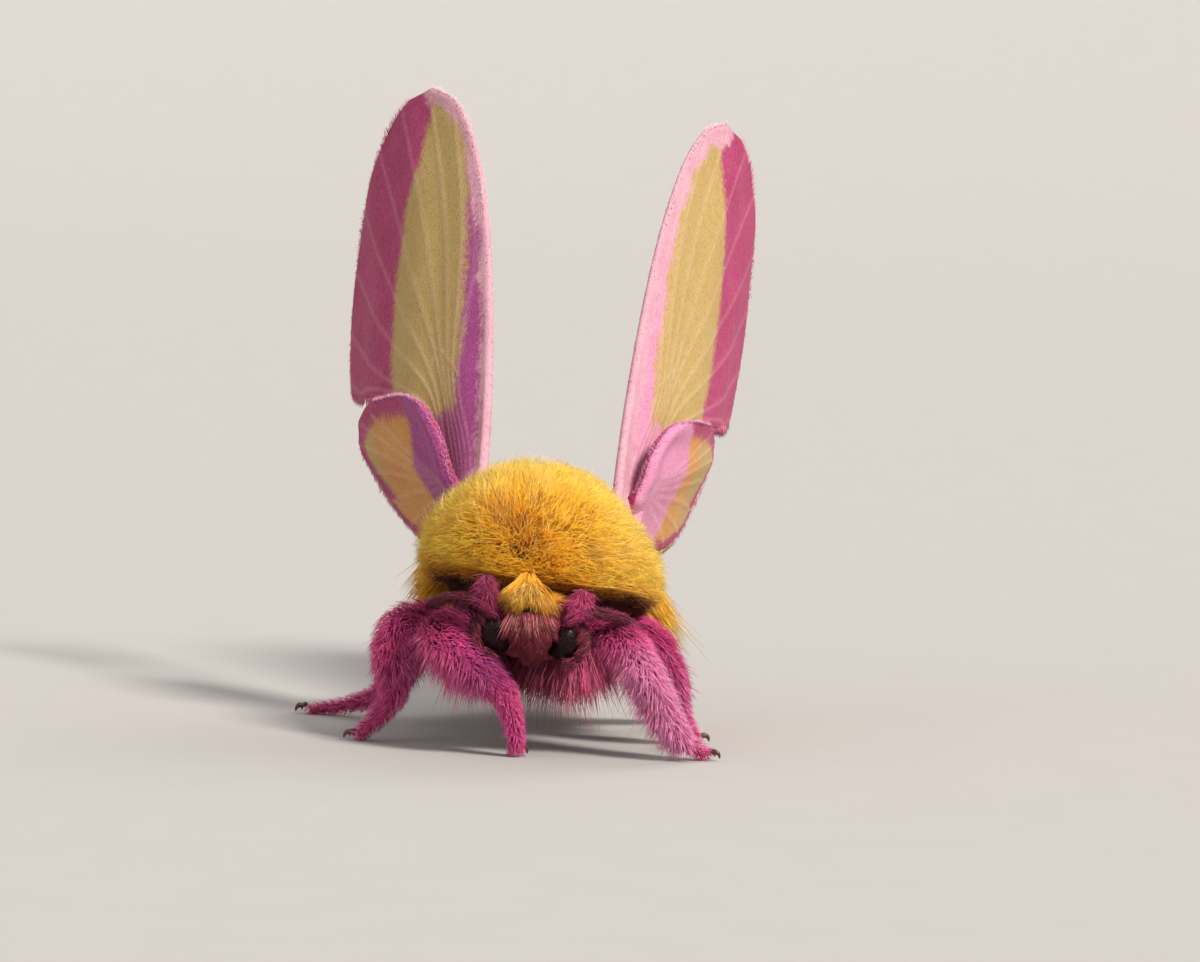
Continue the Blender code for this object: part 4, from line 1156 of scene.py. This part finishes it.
def forewing_surface(sizes, side):
    bx, by, bz, tilt, lean, flare, curl, sweep, chord_scale, span_scale = sizes
    turn = np.array(Matrix.Rotation(math.radians(-tilt), 3, "X")
                    @ Matrix.Rotation(math.radians(lean), 3, "Y")
                    @ Matrix.Rotation(math.radians(-flare), 3, "Z"))

    def place(plane, lift):
        """Plane points (span, chord), in shares of the length, and their lift off the surface in mm."""
        s = plane[:, 0] * FOREWING_LENGTH * span_scale
        c = plane[:, 1] * FOREWING_LENGTH * chord_scale
        h = curl * (c / 8.0) ** 2 + sweep * (s / FOREWING_LENGTH) ** 2 + lift
        p = np.stack([h, c, s], -1) @ turn.T
        return np.stack([side * p[:, 0] + bx, p[:, 1] + by, p[:, 2] + bz], -1)
    return place


def hindwing_surface(sizes):
    side, start, growth, curl, lean, tuck, crest = sizes

    def place(plane, lift):
        y = plane[:, 0]
        up = plane[:, 1] - 9.5
        up = np.where(up > 0, up * crest, up)
        back = y - 2.8
        x = start + growth * back + curl * back * back + np.where(up > 0, lean, tuck) * up + lift
        return np.stack([side * x, y, 9.5 + up], -1)
    return place


def vein_lines(kind):
    """The veins' paths in the wing's own plane."""
    lines = []
    if kind == "fore":
        cell_end = np.array((0.44, 0.115))
        root = np.array((0.0, 0.03))
        ends = [(0.80, 0.03), (0.90, 0.06), (0.965, 0.12), (0.985, 0.20), (0.965, 0.29), (0.91, 0.37),
                (0.83, 0.43), (0.74, 0.475), (0.645, 0.485)]
        for i, end in enumerate(ends):
            split = np.array((0.36 + 0.012 * i, 0.060 + 0.014 * i)) if i < 5 else np.array((0.40 - 0.035 * (i - 5), 0.135 + 0.004 * (i - 5)))
            lines.append(smooth_path((root, (root + split) / 2 + np.array((0, 0.004 * (i - 4))), split,
                                      (split + np.array(end)) / 2 + np.array((0.0, 0.006 * (i - 4))), end), 8))
        lines.append(smooth_path((root, (0.20, 0.095), (0.38, 0.20), (0.52, 0.36), (0.57, 0.44)), 8))
        lines.append(smooth_path((np.array((0.36, 0.060)), cell_end, (0.40, 0.140)), 6))
        return [line * FOREWING_LENGTH for line in lines]
    for i, end in enumerate(((9.2, 11.2), (11.0, 10.7), (11.5, 9.9), (11.2, 8.9), (10.2, 7.8), (8.6, 7.0), (6.8, 6.65))):
        end = np.array(end)
        root, split = np.array((2.4, 8.8)), np.array((5.2 - 0.15 * i, 9.9 - 0.30 * i))
        lines.append(smooth_path((root, (root + split) / 2 + (0.0, 0.15), split, (split + end) / 2 + (0, 0.1), end), 8))
    return lines


def build_wing(name, kind, place, shape, ventral_forward, material, rim_wide=0.50, strip_wide=1.0, band=1.0, lobe_end=5.3, lit=0.0):
    rows, columns = shape
    upper, lower = (COSTA, MARGIN) if kind == "fore" else (HIND_UPPER, HIND_LOWER)
    u = np.linspace(0, 1, rows)
    v = np.linspace(0, 1, columns)
    front, back = along(upper, u), along(lower, u)
    plane = front[:, None, :] + (back - front)[:, None, :] * v[None, :, None]
    plane = plane.reshape(-1, 2)
    scale = FOREWING_LENGTH if kind == "fore" else 1.0
    flat = plane * scale
    vein = np.zeros(len(plane))
    for line in vein_lines(kind):
        vein = np.maximum(vein, np.exp(-(far_from(flat, line) / 0.085) ** 2))
    costa_far = far_from(flat, smooth_path(upper, 12) * scale)
    lower_path = smooth_path(lower, 12) * scale
    margin_far = far_from(flat, lower_path)
    span = flat[:, 0]
    ripple = 0.05 * np.sin(flat[:, 1] * 2.1 + 0.5 * np.sin(span * 0.5)) * step(0.2, 1.5, costa_far)
    zero = np.zeros(len(plane))
    mid = place(plane, ripple)
    du = place(plane + np.array((1e-4, 0.0)) * (1 if kind == "fore" else 10), zero) - place(plane, zero)
    dv = place(plane + np.array((0.0, 1e-4)) * (1 if kind == "fore" else 10), zero) - place(plane, zero)
    normal = normed(np.cross(du, dv))
    if (normal[:, 1].mean() < 0) != ventral_forward:
        normal = -normal
    if kind == "fore":
        reach = FOREWING_LENGTH
        taper = np.clip(1 - span / (reach * 1.15), 0.25, 1)
        thick = 0.10 + 0.34 * taper * np.exp(-(costa_far / 0.34) ** 2) + 0.10 * taper ** 2
    else:
        thick = 0.11 + 0.42 * np.exp(-((costa_far - 0.30) / 0.50) ** 2) * step(6.4, 3.2, span)
    thick = thick + 0.05 * vein * step(1.5, 6.0, span)
    thick = thick * (0.35 + 0.65 * step(0.0, 0.25, np.minimum(costa_far, margin_far) + 0.05))
    obj = two_sided(name, mid, normal, thick, shape)

    # masks, in mm: positive inside the area of that colour. First the side towards the front.
    if kind == "fore":
        outer_line = lower_path[lower_path[:, 0] > TORNUS * scale * 0.98]
        outer_far = far_from(flat, outer_line)
        limit = np.interp(span, (0, 8, 10, 12, 14, 16, 17, 18.2, 19.7, 20.5),
                          (5.6, 5.1, 5.4, 5.25, 4.85, 4.2, 3.7, 2.9, 2.2, 1.7)) * band
        low_pink = np.minimum(flat[:, 1] - limit, np.where(span < 9.5, 5.6 - margin_far * 1.6, 5.0))
        low_strip = np.interp(span, (0, 5, 8, 12, 14.5, 17), (2.3, 1.85, 1.45, 1.15, 0.7, 0.2)) * strip_wide - costa_far
        low_rim = rim_wide + 0.12 * step(6.0, 1.0, span) - costa_far
        low_warm = 3.0 - span
        corner = np.minimum(6.2 - span, 1.6 - margin_far)
        low_lobe = np.maximum(3.3 - span, corner)
        up_pink = np.maximum(np.maximum(3.6 - outer_far, 7.2 - span - 0.35 * flat[:, 1]), corner)
        up_strip = np.full(len(flat), -5.0)
        up_rim = 0.30 - costa_far
        up_warm = np.full(len(flat), -3.0)
        up_lobe = np.full(len(flat), -5.0)
    else:
        outer_far = far_from(flat, lower_path[lower_path[:, 0] > 5.0])
        low_pink = np.maximum(0.95 - outer_far * np.where(flat[:, 1] > 8.0, 1.0, 2.2), 0.8 - costa_far)
        low_strip = np.full(len(flat), -5.0)
        low_rim = np.full(len(flat), -5.0)
        # painted shade: on the hindwing with lit at zero, away from the key light, the orange reaches further
        low_warm = lobe_end + 4.0 - 3.6 * lit - span
        low_lobe = lobe_end - span - 0.30 * np.maximum(0, 9.8 - flat[:, 1])
        up_pink = np.maximum(0.7 - outer_far, 3.9 - span)
        up_strip, up_rim, up_lobe = low_strip, low_rim, np.full(len(flat), -5.0)
        up_warm = np.full(len(flat), -3.0)
    for key, low, up in (("pink", low_pink, up_pink), ("strip", low_strip, up_strip), ("rim", low_rim, up_rim),
                         ("warm", low_warm, up_warm), ("lobe", low_lobe, up_lobe),
                         ("vein", vein, vein), ("lit", zero + lit, zero + lit), ("span", span, span), ("chord", flat[:, 1], flat[:, 1])):
        number_attribute(obj, key, np.concatenate([low, up]))
    obj.data.materials.append(material)
    return finish_piece(obj, "wing", name.replace("wing_membrane", "wing"))


def margin_hairs(name, kind, place, side_normal, material, count, chart):
    """The fringe of long scales round the wing's outer edge and the fuzz on its front edge."""
    upper, lower = (COSTA, MARGIN) if kind == "fore" else (HIND_UPPER, HIND_LOWER)
    scale = FOREWING_LENGTH if kind == "fore" else 1.0
    share = rng.random(count)
    edge = along(lower, share)
    inside = along(lower, np.clip(share + 1e-3, 0, 1)) - along(lower, np.clip(share - 1e-3, 0, 1))
    out = normed(np.stack([inside[:, 1], -inside[:, 0]], -1))
    middle = np.array((0.55, 0.2)) if kind == "fore" else np.array((6.5, 9.3))
    out = np.where(((edge - middle) * out).sum(1, keepdims=True) < 0, -out, out)
    out = normed(out + 0.25 * rng.normal(size=out.shape) * 0.6)
    long = rng.uniform(0.16, 0.34, count) / scale
    lift = 0.03 * rng.normal(size=count)
    base = edge - out * 0.10 / scale
    paths = np.stack([place(base + out * (long + 0.10 / scale)[:, None] * t, lift * (1 + t)) for t in (0, 0.5, 1)], 1)
    span = edge[:, 0] * scale
    if kind == "fore":
        tip = tint((0.86, 0.66, 0.34), (0.72, 0.20, 0.34), step(7.4, 9.0, span))
    else:
        tip = tint((0.90, 0.70, 0.34), (0.86, 0.46, 0.52), step(7.0, 9.5, span))
    cells = np.stack([chart[0] + share * chart[2], chart[1] + 0.01 * rng.random(count)], -1)
    # none by the hinge, where the two wings overlap
    clear = span > (6.6 if kind == "fore" else 2.4)
    paths, tip, cells = paths[clear], tip[clear], cells[clear]
    # front edge
    more = count // 2
    share = rng.random(more) ** 1.2 if kind == "fore" else rng.random(more) * 0.75
    edge2 = along(upper, share)
    sign = rng.choice((-1.0, 1.0), more)
    forward = np.array((0.8, -0.6)) if kind == "fore" else np.array((-0.3, 0.9))
    out2 = normed(forward + 0.5 * rng.normal(size=(more, 2)) * 0.7)
    long2 = rng.uniform(0.12, 0.26, more) / scale
    lift2 = sign * rng.random(more) * 0.12
    into = np.array((0.0, 0.006 if kind == "fore" else -0.1))
    paths2 = np.stack([place(edge2 + into + out2 * long2[:, None] * t, lift2 * (1 + 0.4 * t)) for t in (0, 0.5, 1)], 1)
    tip2 = np.tile((0.93, 0.66, 0.72) if kind == "fore" else (0.72, 0.32, 0.52), (more, 1)).astype(float)
    cells2 = np.stack([chart[0] + share * chart[2], chart[1] + 0.05 + 0.01 * rng.random(more)], -1)
    paths, tip, cells = np.vstack([paths, paths2]), np.vstack([tip, tip2]), np.vstack([cells, cells2])
    total = len(paths)
    return hairs(name, paths, rng.uniform(0.010, 0.018, total), varied(tip * 0.85, 0.06, total),
                 varied(tip, 0.08, total), cells, material, "wing")


def build_wings(material, pink):
    right = forewing_surface((-2.19, .68, 7.44, 39.5, 1.7, 52.8, -2.71, 1.28, 1.05, 1.05), -1)
    left = forewing_surface((2.44, .70, 7.46, 39.4, 4.4, 33.9, -2.42, .66, 1.03, 1.03), 1)
    hind_right = hindwing_surface((-1.0, 3.74, 0.520, -0.0100, 0.20, 0.45, 1.00))
    hind_left = hindwing_surface((1.0, 3.75, 0.425, -0.0240, 0.15, 0.36, 0.75))
    # painted light: the left wings, on the key light's side, get a wider pale rim, a narrower violet strip, a brighter
    # violet and, on the hindwing, less orange
    build_wing("forewing_membrane_right", "fore", right, (190, 84), True, material)
    build_wing("forewing_membrane_left", "fore", left, (190, 84), True, material, 0.72, 0.80, 0.97, lit=0.75)
    build_wing("hindwing_membrane_right", "hind", hind_right, (110, 70), True, material, lobe_end=5.3)
    build_wing("hindwing_membrane_left", "hind", hind_left, (110, 70), True, material, lobe_end=6.2, lit=0.75)
    margin_hairs("fringe_forewing_right", "fore", right, -1, pink, 2100, (0.30, 0.82, 0.30))
    margin_hairs("fringe_forewing_left", "fore", left, 1, pink, 2100, (0.62, 0.82, 0.30))
    margin_hairs("fringe_hindwing_right", "hind", hind_right, -1, pink, 1500, (0.30, 0.92, 0.30))
    margin_hairs("fringe_hindwing_left", "hind", hind_left, 1, pink, 1500, (0.62, 0.92, 0.30))


# ================================================================ eyes and claws
def build_eyes(material):
    for side, sign in (("left", 1), ("right", -1)):
        def point(lat, turn):
            v, a = lat * math.pi / 2, turn * TWO_PI
            n = np.stack([np.cos(v) * np.cos(a), np.cos(v) * np.sin(a), np.sin(v)], -1)
            return bank(np.array([0.12 + sign * 1.25, -3.85, 4.30]) + n * np.array((0.68, 0.80, 0.80)), 4.0)
        obj = object_of("compound_eye_" + side, *grid_closed(point, 40, 56))
        obj.data.materials.append(material)
        finish_piece(obj, "eye", "eye_" + side)


def build_claws(material):
    """A pair of hooked claws on each foot, spread to its two sides."""
    points, faces, total = [], [], 0
    for name, limb in LIMBS.items():
        foot = limb.middle(np.array([1.0]))[0]
        heading = limb.middle(np.array([1.0]))[0] - limb.middle(np.array([0.88]))[0]
        heading[2] = 0
        heading = normed(heading) if np.linalg.norm(heading) > 0.25 else np.array((0.0, -1.0, 0.0))
        across = np.array((-heading[1], heading[0], 0.0))
        for sign in (-1, 1):
            base = foot + np.array((0, 0, 0.20)) + across * sign * 0.13 + heading * 0.12
            bend = [base,
                    base + heading * 0.13 + across * sign * 0.09 + np.array((0, 0, 0.02)),
                    base + heading * 0.22 + across * sign * 0.15 + np.array((0, 0, -0.07)),
                    base + heading * 0.25 + across * sign * 0.17 + np.array((0, 0, -0.22))]
            path = smooth_path([list(p) + [r] for p, r in zip(bend, (0.105, 0.098, 0.065, 0.014))], 5)
            path[:, 2] = np.maximum(path[:, 2], path[:, 3] + 0.004)
            limb_like = Limb(path, lambda r: r, (0, 0, 1, 1))
            more, loops = limb_surface(limb_like, 16, 8)
            points.append(more)
            faces += [tuple(i + total for i in face) for face in loops]
            total += len(more)
    obj = object_of("claws", np.vstack(points), faces)
    obj.data.materials.append(material)
    finish_piece(obj, "claw")


# ================================================================ stage, light and camera
def build_stage():
    steps = 24
    profile = [(0.0, 0.0), (0.45, 0.0)]
    for i in range(1, steps + 1):
        a = math.radians(50) * i / steps
        profile.append((0.45 + 1.6 * math.sin(a), 1.6 * (1 - math.cos(a))))
    turns = 96
    points, faces = [(0.0, 0.0, 0.0)], []
    for r, z in profile[1:]:
        points += [(r * math.cos(TWO_PI * k / turns), r * math.sin(TWO_PI * k / turns), z) for k in range(turns)]
    for k in range(turns):
        faces.append((0, 1 + k, 1 + (k + 1) % turns))
    for i in range(len(profile) - 2):
        for k in range(turns):
            a, b = 1 + i * turns + k, 1 + i * turns + (k + 1) % turns
            faces.append((a, a + turns, b + turns, b))
    mesh = bpy.data.meshes.new("floor")
    mesh.from_pydata(points, [], faces)
    mesh.shade_smooth()
    floor = bpy.data.objects.new("floor", mesh)
    bpy.context.scene.collection.objects.link(floor)
    material, nodes, links, shader = shader_tree("floor_paper", Specular_IOR_Level=0.2)
    mottle = noise(nodes, links, 300.0, 3.0)
    links.new(blend_colours(nodes, links, mottle, (0.40, 0.38, 0.36), (0.42, 0.40, 0.38)),
              shader.inputs["Base Color"])
    shader.inputs["Roughness"].default_value = 0.85
    mesh.materials.append(material)


def build_light():
    scene = bpy.context.scene
    world = bpy.data.worlds.new("studio")
    world.use_nodes = True
    background = world.node_tree.nodes["Background"]
    background.inputs["Color"].default_value = (0.95, 0.96, 1.0, 1.0)
    background.inputs["Strength"].default_value = 0.62
    scene.world = world

    def sun(name, energy, towards, angle, colour):
        data = bpy.data.lights.new(name, "SUN")
        data.energy, data.angle, data.color = energy, math.radians(angle), colour
        obj = bpy.data.objects.new(name, data)
        obj.rotation_euler = (-Vector(towards)).to_track_quat("-Z", "Y").to_euler()
        scene.collection.objects.link(obj)

    sun("key", 4.3, (0.78, -0.74, 0.96), 14, (1.0, 0.96, 0.90))
    sun("fill", 0.36, (-0.70, -0.70, 0.45), 50, (0.95, 0.97, 1.0))
    sun("rim", 0.70, (0.30, 0.80, 0.75), 25, (1.0, 0.97, 0.92))


def build_camera():
    phi, el, rho = math.radians(3.0), math.radians(4.0), math.radians(1.5)
    away = np.array((math.sin(phi) * math.cos(el), -math.cos(phi) * math.cos(el), math.sin(el)))
    right = np.array((math.cos(phi), math.sin(phi), 0.0))
    up = np.cross(away, right)
    r2 = math.cos(rho) * right + math.sin(rho) * up
    u2 = -math.sin(rho) * right + math.cos(rho) * up
    scale = 27.8
    off = ((540 - 600) / scale, -(542 - 481) / scale)
    place = np.array((0, 0, 7.3)) + 220.0 * away - off[0] * r2 - off[1] * u2
    data = bpy.data.cameras.new("camera")
    data.sensor_width, data.lens = 36.0, 6116.0 / 1200 * 36.0
    data.clip_start, data.clip_end = 0.01, 10.0
    camera = bpy.data.objects.new("camera", data)
    camera.matrix_world = Matrix([[r2[i], u2[i], away[i], placed(place)[i]] for i in range(3)] + [[0, 0, 0, 1]])
    bpy.context.scene.collection.objects.link(camera)
    bpy.context.scene.camera = camera


# ================================================================ all together
build_camera()
build_stage()
build_light()
bpy.context.scene.view_settings.view_transform = "Standard"

YELLOW = coat_material("fur_gold", (1.0, 0.85, 0.55))
PINK = coat_material("fur_rose", (1.0, 0.62, 0.80))
build_skin(skin_material())
build_thorax_coat(YELLOW)
build_abdomen_coat(YELLOW)
build_head_coat(YELLOW, PINK)
build_palp_coat(PINK)
build_leg_coats(PINK)
build_feelers(PINK)
WING = wing_material()
build_wings(WING, PINK)
build_eyes(eye_material())
build_claws(claw_material())
